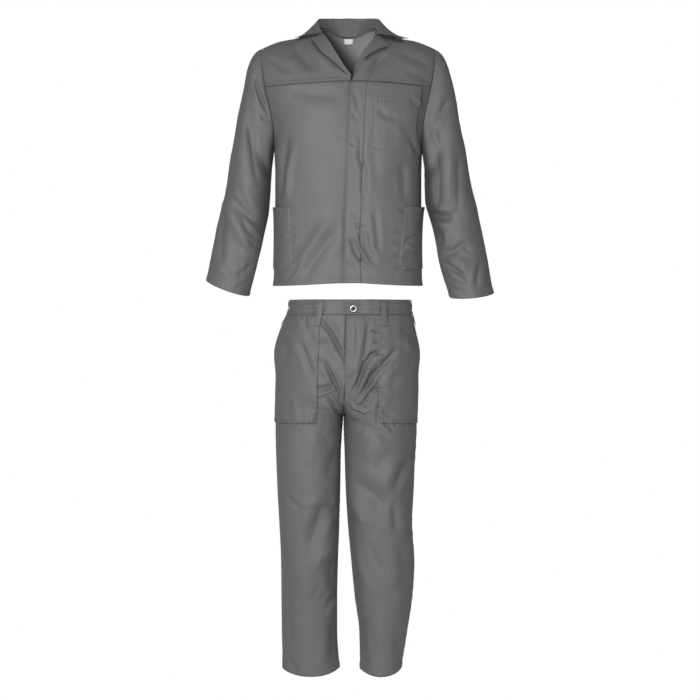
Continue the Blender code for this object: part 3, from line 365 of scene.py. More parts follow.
    def seam(self, line, width=0.006, sink=0.0003, pucker=0.0006, wave=0.013, reach=0.014, turned=True):
        """The edge drops into the seam, and the cloth beside it puckers."""
        self.joined.append(line)
        gap, run = self.away(line)
        if turned:
            self.heights *= smooth_step(gap, 0.0, 0.011)
        self.heights -= sink * np.exp(-(gap / (width * 0.45)) ** 2)
        ripple = uneven_wave(run, wave, 1.7, 0.041, 0.029)
        self.heights += pucker * ripple * np.exp(-(gap / reach) ** 2) * smooth_step(gap, 0.0, width)
        # Painted shade along the seam line
        self.tone *= 1.0 - 0.07 * np.exp(-(gap / 0.0022) ** 2)

    def turn_up(self, line, width, lift=0.0011, pucker=0.0007, wave=0.011, press=0.0):
        """A folded and stitched edge: a raised band with a puckered line of stitches at its far side."""
        gap, run = self.away(line)
        self.heights -= press * (1.0 - smooth_step(gap, 0.0, 0.007))
        self.heights += lift * (1.0 - smooth_step(gap, width - 0.0015, width + 0.0015))
        self.heights -= 0.0006 * np.exp(-((gap - width + 0.002) / 0.0018) ** 2)
        ripple = uneven_wave(run, wave, 2.1, 0.037, 0.023)
        self.heights += pucker * ripple * np.exp(-((gap - width * 0.7) / (width * 0.8)) ** 2)
        # Painted shade along the step just past the turned band
        self.tone *= 1.0 - 0.05 * np.exp(-((gap - width - 0.001) / 0.0016) ** 2)

    def turn_in(self, surface):
        """The seam allowance: the sewn edges are turned in behind their seams."""
        surface.normal_update()
        seams = tree_of([place for line in self.joined for place in line])
        surface.verts.ensure_lookup_table()
        sewn = dict.fromkeys(vert for vert in surface.verts if vert.is_boundary and
                             seams.find(self.points[vert.index])[2] < 0.0001)
        for vert in sewn:
            inner = sum((face.calc_center_median() for face in vert.link_faces), Vector())
            out = vert.co - inner / len(vert.link_faces)
            out -= vert.normal * out.dot(vert.normal)
            vert.co += out.normalized() * 0.0004
        edges = [edge for edge in surface.edges
                 if edge.is_boundary and edge.verts[0] in sewn and edge.verts[1] in sewn]
        for vert in bmesh.ops.extrude_edge_only(surface, edges=edges)["geom"]:
            if isinstance(vert, bmesh.types.BMVert):
                vert.co -= self.surface.find_nearest(vert.co)[1] * 0.0055

    def finish(self, material, around, flat, slot, thickness=0.0014, period=None, **facts):
        """Makes the piece: its heights, its UV map in metres and its wall."""
        places = self.points + self.normals * self.heights[:, None]
        self.mesh.vertices.foreach_set("co", places.ravel())
        u, v = around(self.points)
        corners = read(self.mesh.loops, "vertex_index", 1, np.int32)
        across = u[corners]
        if period:
            # A face at the map's seam stays whole
            starts = read(self.mesh.polygons, "loop_start", 1, np.int32)
            counts = read(self.mesh.polygons, "loop_total", 1, np.int32)
            highest = np.repeat(np.maximum.reduceat(across, starts), counts)
            across = np.where(highest - across > period / 2, across + period, across)
        uv = self.mesh.uv_layers.new(name="cloth")
        uv.data.foreach_set("uv", np.stack((across, v[corners]), axis=1).ravel())
        # The tone with its painted shade goes onto the points as a colour
        tone_and_painted_shade = self.mesh.color_attributes.new("tone_and_painted_shade", "FLOAT_COLOR", "POINT")
        tone = np.clip(self.tone, 0.3, 1.3)
        tone_and_painted_shade.data.foreach_set("color", np.stack((tone, tone, tone, np.ones(len(tone))), axis=1).ravel())
        self.mesh.update()
        self.mesh.shade_smooth()
        self.mesh.materials.clear()
        for side in material:
            self.mesh.materials.append(side)
        self.lines = self.borders()
        piece = new_object(self.node + "_cloth", self.mesh)
        surface = bmesh.new()
        surface.from_mesh(self.mesh)
        self.surface = BVHTree.FromBMesh(surface)
        if self.joined:
            self.turn_in(surface)
            surface.to_mesh(self.mesh)
            self.mesh.shade_smooth()
        surface.free()
        wall = piece.modifiers.new("wall", "SOLIDIFY")
        wall.thickness = thickness
        wall.offset = -1.0
        wall.use_even_offset = False
        wall.material_offset = len(material) - 1
        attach(piece, "root")
        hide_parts(self.node)


def body_around(points):
    """UV metres on the jacket's body: round it, and up it over the shoulder."""
    x, y, z = points.T
    radius, chest_level, over_shoulder = 0.165, -0.295, 0.365
    top = 0.330 - 0.20 * np.abs(x)
    lean = np.arcsin(np.clip((z - chest_level) / top, 0, 1))
    up = np.where(z > chest_level, over_shoulder * lean * 2 / math.pi, z - chest_level)
    return radius * np.arctan2(x, (y - 0.005) * (1 if np.mean(y) > 0 else -1)), up


# The reverse, on the inner sides, is lighter: partly as the back of twill is, partly painted light for the
# inside of the neck, which the lamps leave dark
jacket_twill = (twill("jacket twill", (0.112, 0.112, 0.113), 0.84),
                twill("jacket twill reverse", (0.260, 0.260, 0.262), 0.88))
back = Cloth("jacket_back")
back_hem = back.border((0, 0, -1))
back.drape(0.0035, 0.085)
back.crumple(0.0004, 0.030, 3.0)
back.folds((
    (16, 7.6, -150, -130, -120, -260, -115, -420, -120, -600),
    (15, 8.5, 140, -120, 125, -280, 110, -450, 105, -580), (10, 5.9, -205, -300, -150, -350, -90, -430),
    (10, 6.8, 205, -290, 160, -330, 100, -440, 85, -520), (9, 4.8, -195, -520, -130, -560, -60, -640),
    (10, 4.3, 190, -540, 120, -590), (10, 4.3, -60, 20, -100, -40, -150, -80),
    (11, 4.3, 65, 15, 110, -50, 140, -100), (20, -3.4, -10, -100, 5, -300, -10, -500),
), facing=1)
for line in back.borders():
    if np.mean(line[:, 2]) > np.mean(back_hem[:, 2]) + 0.05:
        back.seam(line, pucker=0.0005)
back.turn_up(back_hem, 0.014)
back.finish(jacket_twill, body_around, (0.58, 0.72), "jacket_cloth", area=0.38)


def inset(line, distance, cloth):
    """A line moved in from a piece's edge along its surface."""
    ahead = np.gradient(line, axis=0)
    ahead /= np.maximum(np.linalg.norm(ahead, axis=1, keepdims=True), 1e-9)
    found = [cloth.surface.find_nearest(Vector(point)) for point in line]
    normals = np.array([item[1] for item in found])
    across = np.cross(normals, ahead)
    tries = [line + across * 0.006 * side for side in (1, -1)]
    misses = [np.mean([cloth.surface.find_nearest(Vector(point))[3] for point in places]) for places in tries]
    return line + across * distance * (1 if misses[0] < misses[1] else -1)


jacket_thread = bmesh.new()
dash = bmesh.new()
bmesh.ops.create_cone(dash, cap_ends=True, cap_tris=False, segments=3, radius1=0.5, radius2=0.5, depth=1.0)
dash_data = to_data(dash, "dash")


def sew(thread, cloth, line, pitch=0.0034, length=0.0025, width=0.00055, trim=0.004):
    """A row of stitches pressed into the cloth along a line."""
    end = run_of(line)[-1]
    if end < 2 * trim + pitch:
        return
    dense = along(line, np.arange(trim, end - trim, pitch))
    seats = [cloth.surface.find_nearest(Vector(point))[:2] for point in dense]
    for (place, normal), after in zip(seats, seats[1:]):
        ahead = after[0] - place
        if not pitch * 0.4 <= ahead.length <= pitch * 2.5:
            continue
        ahead.normalize()
        side = normal.cross(ahead).normalized()
        up = ahead.cross(side)
        turned = Matrix((side * width, up * width * 0.75, ahead * length)).transposed().to_4x4()
        turned.translation = place + ahead * pitch / 2 + up * width * 0.12
        made = dash_data.copy()
        made.transform(turned)
        thread.from_mesh(made)
        bpy.data.meshes.remove(made)


def stitch(thread, cloth, line, *distances, **look):
    """Rows of stitches at distances from an edge."""
    for distance in distances:
        sew(thread, cloth, inset(line, distance, cloth), **look)


def tack(thread, cloth, start, end, width=0.0020):
    """A bar tack: short stitches side by side across a line."""
    start, end = np.array(start), np.array(end)
    ahead = (end - start) / np.linalg.norm(end - start)
    across = np.array((-ahead[2], 0.0, ahead[0])) * width / 2
    for share in np.linspace(0.0, 1.0, 11):
        middle = start + (end - start) * share
        sew(thread, cloth, np.array((middle - across * 2.2, middle, middle + across * 2.2)),
            pitch=width, length=width, width=0.0006, trim=0.0)


stitch(jacket_thread, back, back_hem, 0.0125)
for line in back.borders():
    if np.mean(line[:, 2]) > 0.0 and abs(np.mean(line[:, 0])) > 0.1:
        stitch(jacket_thread, back, line, 0.0025)


# Jacket fronts and placket. The right front runs under the left one, whose edge is a fly: a strip of its
# own, folded back on itself over the hidden studs and sewn down its inner side, with two bar tacks.
FOLD_STEP = 0.0028  # Places of folds on the fronts are counted in steps of this many metres
jacket_folds = (
    (9, 7, -59, -88, -62, -104, -66, -126, -68, -160), (8, -3.6, -53, -102, -59, -128, -62, -160),
    (13, -5, -14, -170, -30, -192, -43, -212, -55, -236),
    (15, 6.6, -6, -180, -21, -200, -35, -218, -48, -240), (5, 4, -45, -214, -56, -229, -64, -238),
    (16, 4, -63, -46, -33, -52, -2, -53), (4, 3.6, -60, -184, -51, -185), (4.6, 4, -61, -192, -51, -191),
    (4, -3, -58, -199, -49, -199), (4, 3.4, -60, -207, -51, -206), (4, 3, -58, -218, -51, -218),
    (6, 4, 13, -88, 12, -114, 16, -127, 15, -142, 17, -158, 13, -172),
    (9, -2.4, 20, -76, 19, -106, 22, -131, 23, -156), (4.2, -5.8, 7, -185, 11, -203, 19, -218, 32, -229),
    (7, 5, 15, -182, 19, -204, 29, -220), (6, 5, 2, -192, 8, -210, 20, -227),
    (7, 4.6, 26, -161, 29, -188, 31, -212), (4.2, 4.4, 50, -164, 60, -168), (4.2, 3.6, 46, -188, 56, -188),
    (4.2, 4.4, 44, -198, 55, -199), (4.6, 4, 44, -211, 55, -211), (4.2, 3.8, 46, -224, 56, -223),
    (4, -3, 46, -205, 54, -205), (6, 5, 74, -190, 62, -195, 52, -203),
    (4, -3.6, 54, -199, 60, -201, 67, -206), (6, 3.6, 52, -215, 62, -210, 74, -208),
    (4.4, 3.6, 56, -228, 65, -225, 72, -228), (8, 4.6, 61, -92, 67, -103, 71, -114),
    (9, 3.6, 54, -116, 56, -138, 56, -160), (8, 4, 28, -66, 38, -73, 51, -75),
    (12, -2.6, 47, -78, 52, -91, 48, -106), (4, 4.2, 60, -55, 67, -61, 73, -66),
    (3.6, -3, 63, -52, 69, -55, 75, -61), (4.6, 4.4, 4, -72, 10, -76), (4.4, 2.6, 2, -99, 9, -104),
    (4.2, 1.8, 0, -114, 8, -113), (5, 2.4, 2, -170, 11, -173), (4.6, 4, 6, -181, 17, -184),
    (5.2, 2.8, -1, -195, 10, -200), (5.2, 3.2, -2, -217, 12, -221), (4.4, -3.2, 0, -209, 10, -212),
    (5, 3.4, 6, -48, 9, -58, 10, -68),
)
# The placket and the pockets hang in the same swells as the fronts that they are sewn to
right_swells = {"amount": 0.0026, "size": 0.080, "seed": 4.0}
left_swells = {"amount": 0.0026, "size": 0.075, "seed": 8.0}
front_right = Cloth("jacket_front_right")
front_right.drape(**right_swells)
front_right.crumple(0.0004, 0.026, 5.0)
front_left = Cloth("jacket_front_left")
front_left.drape(**left_swells)
front_left.crumple(0.0004, 0.024, 7.0)
placket = Cloth("jacket_placket")
placket.drape(**left_swells)
for cloth in (front_right, front_left, placket):
    hem = cloth.border((0, 0, -1))
    for line in cloth.borders():
        middle = line.mean(axis=0)
        if middle[2] < -0.6:
            continue
        if cloth is placket and middle[0] < 0.01:
            cloth.turn_up(line, 0.003, lift=0.0006, pucker=0.0004)
        elif cloth is not front_right and 0.0 < middle[0] < 0.06 and middle[2] < -0.2:
            cloth.seam(line, sink=0.0001, pucker=0.0005, wave=0.024, turned=False)
        elif cloth is front_right and abs(middle[0]) < 0.05:
            continue
        else:
            cloth.seam(line, pucker=0.0006 if abs(middle[0]) > 0.1 else 0.0009)
    cloth.turn_up(hem, 0.014)
    cloth.folds(jacket_folds, FOLD_STEP, ends=0.28)
# The right front sinks along the placket's free edge, and a painted shadow darkens it there
x, z = front_right.points[:, 0], front_right.points[:, 2]
edge_x = np.interp(z, (-0.672, -0.520, -0.380, -0.213, -0.112), (-0.0112, -0.0106, -0.0034, 0.0022, 0.0078))
beside = np.exp(-((x - edge_x + 0.0012) / 0.0030) ** 2)
beside *= np.interp(z, (-0.60, -0.45, -0.30), (1.0, 0.8, 0.45))
front_right.heights -= 0.0030 * beside
front_right.tone *= 1.0 - 0.45 * beside
front_right.finish(jacket_twill, body_around, (0.30, 0.60), "jacket_cloth", area=0.165)
front_left.finish(jacket_twill, body_around, (0.26, 0.58), "jacket_cloth", area=0.130)
placket.finish(jacket_twill, body_around, (0.042, 0.567), "jacket_cloth")
for cloth in (front_right, front_left, placket):
    stitch(jacket_thread, cloth, cloth.border((0, 0, -1)), 0.0125)
stitch(jacket_thread, placket, placket.border((-1, 0, 0)), 0.0030)
stitch(jacket_thread, front_left, front_left.border((-1, 0, 0)), 0.0022)
tack(jacket_thread, placket, (-0.0084, -0.135, -0.4704), (-0.0084, -0.135, -0.4816))
tack(jacket_thread, placket, (0.0336, -0.135, -0.5068), (0.0336, -0.135, -0.5180))


# Front yokes. Each runs from the shoulder seam down to a lapped seam across the chest, whose folded edge
# stands out over the front and is stitched twice.
yoke_right = Cloth("jacket_yoke_right")
yoke_right.folds((
    (14, 7.6, -56, 0, -45, -14, -31, -29), (9, 4.8, -80, -13, -68, -22, -56, -31),
    (10, -3.1, -43, 2, -26, -16, -10, -32),
), FOLD_STEP)
yoke_left = Cloth("jacket_yoke_left")
yoke_left.folds((
    (9, 5.8, 18, -36, 26, -24, 37, -10), (10, 3.7, 48, -6, 62, -14, 84, -22),
    (8, 3.1, 52, -28, 70, -32, 86, -40),
), FOLD_STEP)
# The cloth sinks under the edges of the collar and the lapels, with painted shadow there
under_edges = (
    (yoke_right, 0.10, (4.2, 2.4, -106, 17, -78.5, -21, -38.5, -54, 7, -91.5)),
    (yoke_right, 0.15, (4.4, 2, -146, 13, -105, 20.5, -78, 27)),
    (yoke_left, 0.20, (6.2, 3.4, 121, -4, 92, -16, 65, -30, 40, -50)),
    (yoke_left, 0.15, (4.8, 2, 90, 23.5, 120, 15, 162, 5)),
)
for cloth, ends, fold in under_edges:
    cloth.folds((fold,), ends=ends, dark=0.62)
for cloth, seed in ((yoke_right, 2.0), (yoke_left, 6.0)):
    cloth.drape(0.0018, 0.065, seed=seed)
    cloth.crumple(0.0004, 0.022, seed)
    lap = cloth.border((0, -0.4, -1))
    for line in cloth.borders():
        if np.allclose(line.mean(axis=0), lap.mean(axis=0)):
            cloth.turn_up(line, 0.007, lift=0.0014, pucker=0.0006, wave=0.015)
        else:
            cloth.seam(line, pucker=0.0005)
yoke_right.finish(jacket_twill, body_around, (0.26, 0.23), "jacket_cloth", area=0.0375)
yoke_left.finish(jacket_twill, body_around, (0.24, 0.23), "jacket_cloth", area=0.0355)
for cloth in (yoke_right, yoke_left):
    stitch(jacket_thread, cloth, cloth.border((0, -0.4, -1)), 0.0016, 0.0066)


# Sleeves. Each is cut in one piece, closed by a seam on its inner side, set into the armhole and turned up
# at the cuff. They hang a little forward of the body with their folds at the armhole and the elbow.
SLEEVE_RADIUS = 0.068


def sleeve_around(points):
    """UV metres on a sleeve: round it, and down it from the armhole."""
    side = 1.0 if np.mean(points[:, 0]) > 0 else -1.0
    top = np.array((0.232 * side, 0.0, -0.150))
    foot = np.array((0.345 * side, -0.020, -0.690))
    down = (foot - top) / np.linalg.norm(foot - top)
    fall = (points - top) @ down
    away = points - top - fall[:, None] * down
    inner = np.array((-side, 0.0, 0.0))
    inner -= down * (inner @ down)
    inner /= np.linalg.norm(inner)
    forward = np.cross(down, inner)
    return SLEEVE_RADIUS * np.arctan2(away @ forward, -(away @ inner)), -fall


sleeve_right = Cloth("jacket_sleeve_right")
sleeve_right.folds((
    (5, 7.5, -94, -26, -91, -42, -86, -56, -78, -74), (5, -4, -86, -36, -82, -54, -77, -68),
    (5.5, 5, -89, -72, -83, -74, -76, -73), (9, 6.2, -102, -62, -98, -86, -94, -108, -91, -132, -86, -154),
    (14, -3.6, -110, -76, -108, -106, -104, -134), (12.5, 9, -122, -146, -110, -161, -98, -173, -83, -186),
    (9, 5, -113, -136, -105, -154, -94, -168), (12.5, -5.6, -125, -154, -116, -174, -105, -194, -92, -216),
    (6.2, 6.2, -108, -173, -99, -187, -87, -198), (10, 4.6, -123, -166, -127, -194, -126, -226),
    (4.2, 3.6, -101, -194, -91, -203), (4.2, 3.4, -103, -203, -93, -210),
    (6.6, 5.6, -112, -231, -102, -227, -95, -220), (4.6, 4.4, -114, -243, -99, -239),
    (9, -3, -136, -218, -122, -230, -108, -236),
), FOLD_STEP)
sleeve_right.folds((
    (14, 6.8, -80, -74, -90, -106, -92, -156), (11, 7.6, -86, -156, -103, -168, -116, -170),
    (10, 5.9, -90, -182, -108, -192, -122, -192),
), FOLD_STEP, facing=1)
sleeve_left = Cloth("jacket_sleeve_left")
sleeve_left.folds((
    (8.5, 7, 101, -54, 93, -68, 84, -80), (7, -3.6, 84, -84, 88, -96, 92, -106),
    (8.5, 8, 88, -106, 89, -136, 89, -170), (12, -6, 102, -96, 101, -134, 99, -172),
    (7, 3.4, 110, -106, 111, -141, 110, -172), (9, 11.5, 80, -169, 92, -173, 107, -175),
    (5.5, -4.6, 84, -164, 97, -165, 110, -167), (8.5, 7, 81, -178, 89, -189, 94, -202),
    (7, -3.6, 102, -182, 97, -194, 96, -206), (8, 7.8, 90, -209, 104, -208, 114, -201, 126, -209),
    (10, -5.6, 96, -218, 110, -217, 122, -223), (4.6, 9, 91, -216, 104, -224, 121, -235),
    (7.5, -4.4, 95, -226, 107, -233, 121, -241), (7.5, 5.6, 133, -212, 130, -230, 127, -248),
    (5, 3.6, 98, -239, 108, -246, 120, -250),
), FOLD_STEP)
sleeve_left.folds((
    (14, 6.8, 84, -76, 96, -116, 98, -161), (11, 7.6, 92, -160, 108, -170, 122, -168),
    (10, 5.9, 98, -188, 114, -196, 130, -192),
), FOLD_STEP, facing=1)
for cloth, side, seed, length in ((sleeve_right, -1, 11.0, 0.62), (sleeve_left, 1, 17.0, 0.64)):
    cloth.drape(0.0040, 0.060, stretch=1.7, seed=seed)
    cloth.crumple(0.0005, 0.026, seed)
    z = cloth.points[:, 2]
    # Painted shade on the sleeve's inner side, where it hangs close to the body below the armhole
    inner = smooth_step(-side * cloth.normals[:, 0], 0.35, 0.85)
    cloth.tone *= 1.0 - 0.55 * inner * smooth_step(-z, 0.13, 0.26) * (1.0 - smooth_step(-z, 0.46, 0.60))
    rings = sorted(cloth.borders(), key=lambda line: np.mean(line[:, 2]))
    cloth.turn_up(rings[0], 0.012)
    cloth.seam(rings[1], width=0.008, sink=0.0002, pucker=0.0007, wave=0.019, reach=0.020)
    cloth.finish(jacket_twill, sleeve_around, (0.42, length), "jacket_cloth",
                 period=SLEEVE_RADIUS * 2 * math.pi, area=0.235 if side > 0 else 0.225)
    stitch(jacket_thread, cloth, rings[0], 0.0105)


# Collar and lapels. The collar is one folded piece that stands up round the neck and lies down on the
# shoulders; the lapels are the front edges turned back below it. Both are stitched along their edges.
def collar_around(points):
    """UV metres on the collar: round the neck, and across the leaf."""
    x, y, z = points.T
    return 0.10 * np.arctan2(x, -(y - 0.015)), np.hypot(x, y - 0.015) + z


collar = Cloth("jacket_collar", levels=2)
collar.drape(0.0012, 0.050, seed=21.0)
collar.crumple(0.0003, 0.020, 2.0)
leaf = max(collar.borders(), key=lambda line: len(line) + 200 * np.mean(np.hypot(line[:, 0], line[:, 1])))
for line in collar.borders():
    if len(line) < 80 or np.allclose(line.mean(axis=0), leaf.mean(axis=0)):
        collar.turn_up(line, 0.005, lift=0.0007, pucker=0.0004)
    else:
        collar.seam(line, pucker=0.0004)
collar.finish(jacket_twill, collar_around, (0.40, 0.10), "jacket_cloth", area=0.0350)
stitch(jacket_thread, collar, leaf, 0.0050)
for name, flat, area in (("jacket_lapel_right", (0.16, 0.045), 0.0040),
                         ("jacket_lapel_left", (0.15, 0.045), 0.0030)):
    lapel = Cloth(name)
    lapel.drape(0.0008, 0.040, seed=5.0)
    for line in lapel.borders():
        lapel.turn_up(line, 0.004, lift=0.0005, pucker=0.0003)
    lapel.finish(jacket_twill, body_around, flat, "jacket_cloth", area=area)
    outer = max(lapel.borders(), key=lambda line: len(line) + 400 * abs(float(np.mean(line[:, 0]))))
    stitch(jacket_thread, lapel, outer, 0.0045)


# Patch pockets of the jacket. The chest pocket hangs from the yoke seam under its flap; the hip pockets
# are caught in the side seams and the hem. Their edges are turned in and stitched twice.
chest = Cloth("jacket_chest_pocket", weld=0.009)
chest.drape(**left_swells)
chest.crumple(0.0004, 0.024, 7.0)
flap = Cloth("jacket_chest_flap", weld=0.007)
flap.drape(**left_swells)
hip_right = Cloth("jacket_hip_pocket_right", weld=0.009)
hip_right.drape(**right_swells)
hip_left = Cloth("jacket_hip_pocket_left", weld=0.009)
hip_left.drape(**left_swells)
for cloth, flat, area in ((chest, (0.145, 0.215), 0.0287), (flap, (0.145, 0.060), 0.0079),
                          (hip_right, (0.130, 0.176), 0.0217), (hip_left, (0.146, 0.176), 0.0232)):
    mouth = cloth.border((0, 0, 1))
    for line in cloth.borders():
        top = np.allclose(line.mean(axis=0), mouth.mean(axis=0))
        wide = 0.014 if top and cloth in (hip_right, hip_left) else 0.007
        side = abs(np.mean(line[:, 0])) > 0.19
        pucker = 0.0001 if side else 0.0005 if top else 0.0011
        cloth.turn_up(line, wide, lift=0.0004, pucker=pucker, wave=0.012,
                      press=0.0 if wide > 0.01 else 0.0017)
    cloth.folds(jacket_folds, FOLD_STEP, ends=0.28)
    cloth.finish(jacket_twill, body_around, flat, "jacket_cloth", area=area)
    for line in cloth.borders():
        if abs(np.mean(line[:, 0])) < 0.19:
            stitch(jacket_thread, cloth, line, 0.0018, 0.0068)
    if cloth in (hip_right, hip_left):
        stitch(jacket_thread, cloth, mouth, 0.0130)
label = Cloth("jacket_neck_label", wall=0.001)
label_white = (twill("label cloth", (0.92, 0.92, 0.90), 0.94, pitch=0.0005),)
label.finish(label_white, body_around, (0.024, 0.019), "label", thickness=0.0006)


# Jacket stitching: the rows sewn above become one piece of thread.
def thread_piece(thread, name, colour):
    """Makes the rows of stitches one piece, in a slightly lighter thread than the cloth."""
    bmesh.ops.recalc_face_normals(thread, faces=thread.faces)
    data = to_data(thread, name)
    spun, tree, shader = new_material(name, {"Roughness": 0.6, "Sheen Weight": 0.2})
    place = new_node(tree, "TexCoord").outputs["Object"]
    twist = new_node(tree, "TexNoise", {"Vector": place, "Scale": 900.0}).outputs["Fac"]
    tones = two_tones(tree, twist, [value * 0.7 for value in colour], colour)
    tree.links.new(tones, shader.inputs["Base Color"])
    data.materials.append(spun)
    stitches = new_object(name, data)
    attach(stitches, "root")


thread_piece(jacket_thread, "jacket_stitches", (0.115, 0.115, 0.115))


# Trouser legs. Four panels of a slightly cooler and darker twill, sewn at the outer and inner sides and
# along the seat, and turned up at the hems. The cloth drags in folds from the crotch to the pockets.
def leg_around(points):
    """UV metres on a leg panel: round the leg, and up it."""
    x, y, z = points.T
    radius, depth_middle = 0.108, 0.008
    front = np.mean(y) < depth_middle
    middle = -0.108 if np.mean(x) < 0 else np.interp(z, (-1.75, -1.45, -1.0), (0.092, 0.096, 0.090))
    return radius * np.arctan2(x - middle, (y - depth_middle) * (-1 if front else 1)), z


# The reverse, on the inner sides, is lighter: partly as the back of twill is, partly painted light for the
# inner sides, which the lamps leave dark
trouser_twill = (twill("trouser twill", (0.108, 0.112, 0.111), 0.84),
                 twill("trouser twill reverse", (0.200, 0.206, 0.204), 0.88))
trouser_thread = bmesh.new()
trouser_folds = (
    (5.5, 6.6, -29, -272, -23, -281, -18, -287, -13, -296, -5, -311, -2, -320),
    (7, -2.6, -20, -274, -12, -286, -5, -300), (7, -2.8, -28, -288, -20, -301, -11, -318),
    (4.6, 6.6, -26, -308, -21, -320, -14, -335, -8, -348, -3, -363),
    (5, -3.8, -30, -318, -23, -330, -18, -338, -13, -348), (5, -3, -16, -322, -9, -337, -3, -353),
    (6, 6.2, -36, -343, -26, -343, -17, -341, -12, -337),
    (4.2, -5, -36, -352, -26, -349.5, -18, -346, -10, -342), (5.5, 6, -23, -348, -15, -359, -6, -374),
    (6, 5.5, -17, -346, -9, -356, -3, -366), (7, -2.6, -30, -359, -20, -361, -12, -368),
    (6, 4.2, 21, -274, 19, -294, 16, -308, 13, -324, 11, -338), (3.4, 1.4, 9, -274, 8.5, -294, 8, -314),
    (5, 7.4, 37, -303, 30, -307, 23, -310, 18, -317, 13, -330, 9, -340, 2, -350),
    (6.5, -5.5, 42, -304, 30, -313, 21, -324, 16, -336, 11, -346, 3, -356),
    (6, 8.6, 52, -300, 43, -311, 32, -323, 23, -332, 18, -342, 10, -354),
    (4.2, -6.4, 33, -331, 23, -341, 18, -349, 14, -356, 5, -363),
    (5.5, 6.8, 42, -347, 30, -344, 22, -346, 18, -353, 12, -360, 5, -363),
    (4.2, -4.8, 1, -356, 6, -363, 12, -365, 19, -368), (4.5, 5.4, 0, -366, 8, -367, 17, -371),
    (4.2, -3, -1, -371, 8, -372, 14, -369, 23, -363), (5, 4, 0, -376, 12, -377),
    (5.5, 3.6, 32, -354, 29, -368, 30, -384), (4.2, 4, 21, -284, 29, -287, 37, -286),
    (4, 4, 24, -297, 36, -298), (3.8, 3.4, 26, -308, 38, -309), (4.4, 3.6, -32, -297, -24, -297, -18, -294),
    (3.6, 3, -33, -313, -23, -315), (12, 2.4, -30, -384, -21, -393, -7, -384),
    (7.5, 6, -48, -296, -42, -311, -38, -324, -32, -334),
    (9, 3.6, -47, -268, -42, -281, -36, -296, -30, -308), (11, 4.4, -68, -288, -62, -304, -64, -324),
    (8, 2.4, -40, -352, -44, -360, -52, -366), (8, 1.6, -59, -376, -58, -364, -59, -352),
    (12, 5, 50, -292, 57, -286, 64, -287, 69, -299, 70, -308), (8, -3.6, 47, -298, 57, -297, 64, -308),
    (8, 3, 50, -305, 42, -314, 32, -324), (10, -4, 54, -314, 45, -326, 34, -340),
    (7, 3.6, 30, -360, 36, -366, 45, -372), (7, 4, 32, -376, 40, -380, 47, -388),
    (4, 2, -46, -376, -45, -382), (4, 2.2, -38, -376, -37, -382), (4, 1.8, -56, -376, -56, -381),
    (4, 2, 38, -376, 37, -382), (4, 2.2, 48, -377, 47, -383), (4, 1.8, 57, -377, 57, -382),
)
trouser_swells = {"amount": 0.0034, "size": 0.075, "stretch": 2.6}
knee = -1.12  # The leg fronts have small faces above this height, for their narrow folds
leg_front_right = Cloth("trousers_front_right", fine=knee)
leg_front_right.folds((
    (10, 8, -11, -401, -17, -421, -20, -436), (16, -4.5, -30, -386, -36, -402, -38, -425),
    (5, 6.4, -63, -448, -56, -457, -45, -464), (7, -4.6, -48, -460, -35, -458, -23, -456),
    (12.5, 13.5, -11, -454, -26, -466, -33, -486, -41, -508), (8, -6, -16, -469, -21, -484, -25, -495),
    (5, 5, -22, -461, -8, -465), (4.5, -4, -15, -448, -12.5, -460),
    (11.5, -9.5, -11, -499, -26, -511, -37, -529), (9, 6.6, -12, -504, -16, -531, -14, -553),
    (5.8, 6.4, -9, -546, -15, -555, -21, -565), (5.5, -6.4, -10, -554, -16, -562, -21, -573),
    (4, 3.4, -37, -546, -33, -548, -28, -543), (10, 7.5, -62, -539, -61, -576, -56, -612),
    (9, 7.5, -13, -571, -15, -601, -16, -625), (5.5, 6.2, -63, -605, -56, -618, -49, -630),
    (16, -4.1, -48, -516, -42, -566, -38, -606),
), FOLD_STEP, ends=0.32, wider=1.3, deeper=0.66)
leg_front_left = Cloth("trousers_front_left", fine=knee)
leg_front_left.folds((
    (8, 6.6, 2, -388, 17, -381, 32, -387, 46, -398), (14, -6.2, 13, -414, 23, -402, 39, -396),
    (9.5, 5, 22, -429, 35, -415, 53, -400), (11.5, -7.5, 30, -448, 40, -431, 49, -416),
    (7.8, 10, 67, -408, 55, -424, 45, -445), (6.5, -5, 66, -423, 54, -441, 50, -453),
    (16, 15, 1, -433, 20, -446, 41, -464), (8, -8.5, 2, -454, 10, -466, 17, -482),
    (6, 6.4, 45, -452, 47, -471, 48, -490), (10, -6.2, 56, -455, 57, -475, 55, -494),
    (14, 8.5, 50, -495, 58, -521, 54, -552), (11.5, -8.5, 6, -495, 14, -526, 25, -557),
    (8, 5, 20, -495, 27, -511, 34, -531), (8, -4, 45, -556, 55, -549, 65, -544),
    (6, 6.8, 13, -590, 17, -611, 19.5, -630), (8, 5.8, 49, -586, 52, -608, 51, -629),
    (18, -4, 32, -550, 34, -580, 35, -610),
), FOLD_STEP, ends=0.32, wider=1.3, deeper=0.66)
leg_back_right = Cloth("trousers_back_right")
leg_back_left = Cloth("trousers_back_left")
back_folds = (
    (12, 6.8, 30, -960, 85, -930, 150, -925), (12, 8.7, 28, -1030, 80, -1000, 140, -1010),
    (11, -5.9, 35, -1070, 90, -1055, 150, -1080), (13, 7.6, 40, -1120, 100, -1110, 160, -1150),
    (12, 8.3, 50, -1300, 110, -1330, 170, -1320), (11, 7.6, 45, -1370, 100, -1385, 160, -1360),
    (12, -5.1, 60, -1440, 120, -1420, 165, -1450), (13, 5.9, 50, -1580, 110, -1620, 160, -1610),
    (9, 4.4, 100, -780, 95, -840, 105, -900),
)
for number, (wide, deep, *places) in enumerate(back_folds):
    x, z = np.reshape(places, (-1, 2)).T
    leg_back_right.folds(((wide, deep, *np.stack((-x, z), axis=1).ravel()),), facing=1)
    # The left leg's folds lie lower by turns, and some of them lean the other way
    low, lean = 11 * (number % 4), 0.16 * (number % 3 - 1)
    places = np.stack((x * 0.94, z - low + lean * (x - 90)), axis=1).ravel()
    leg_back_left.folds(((wide * 1.1, deep * (1.15 - 0.18 * (number % 3)), *places),), facing=1)
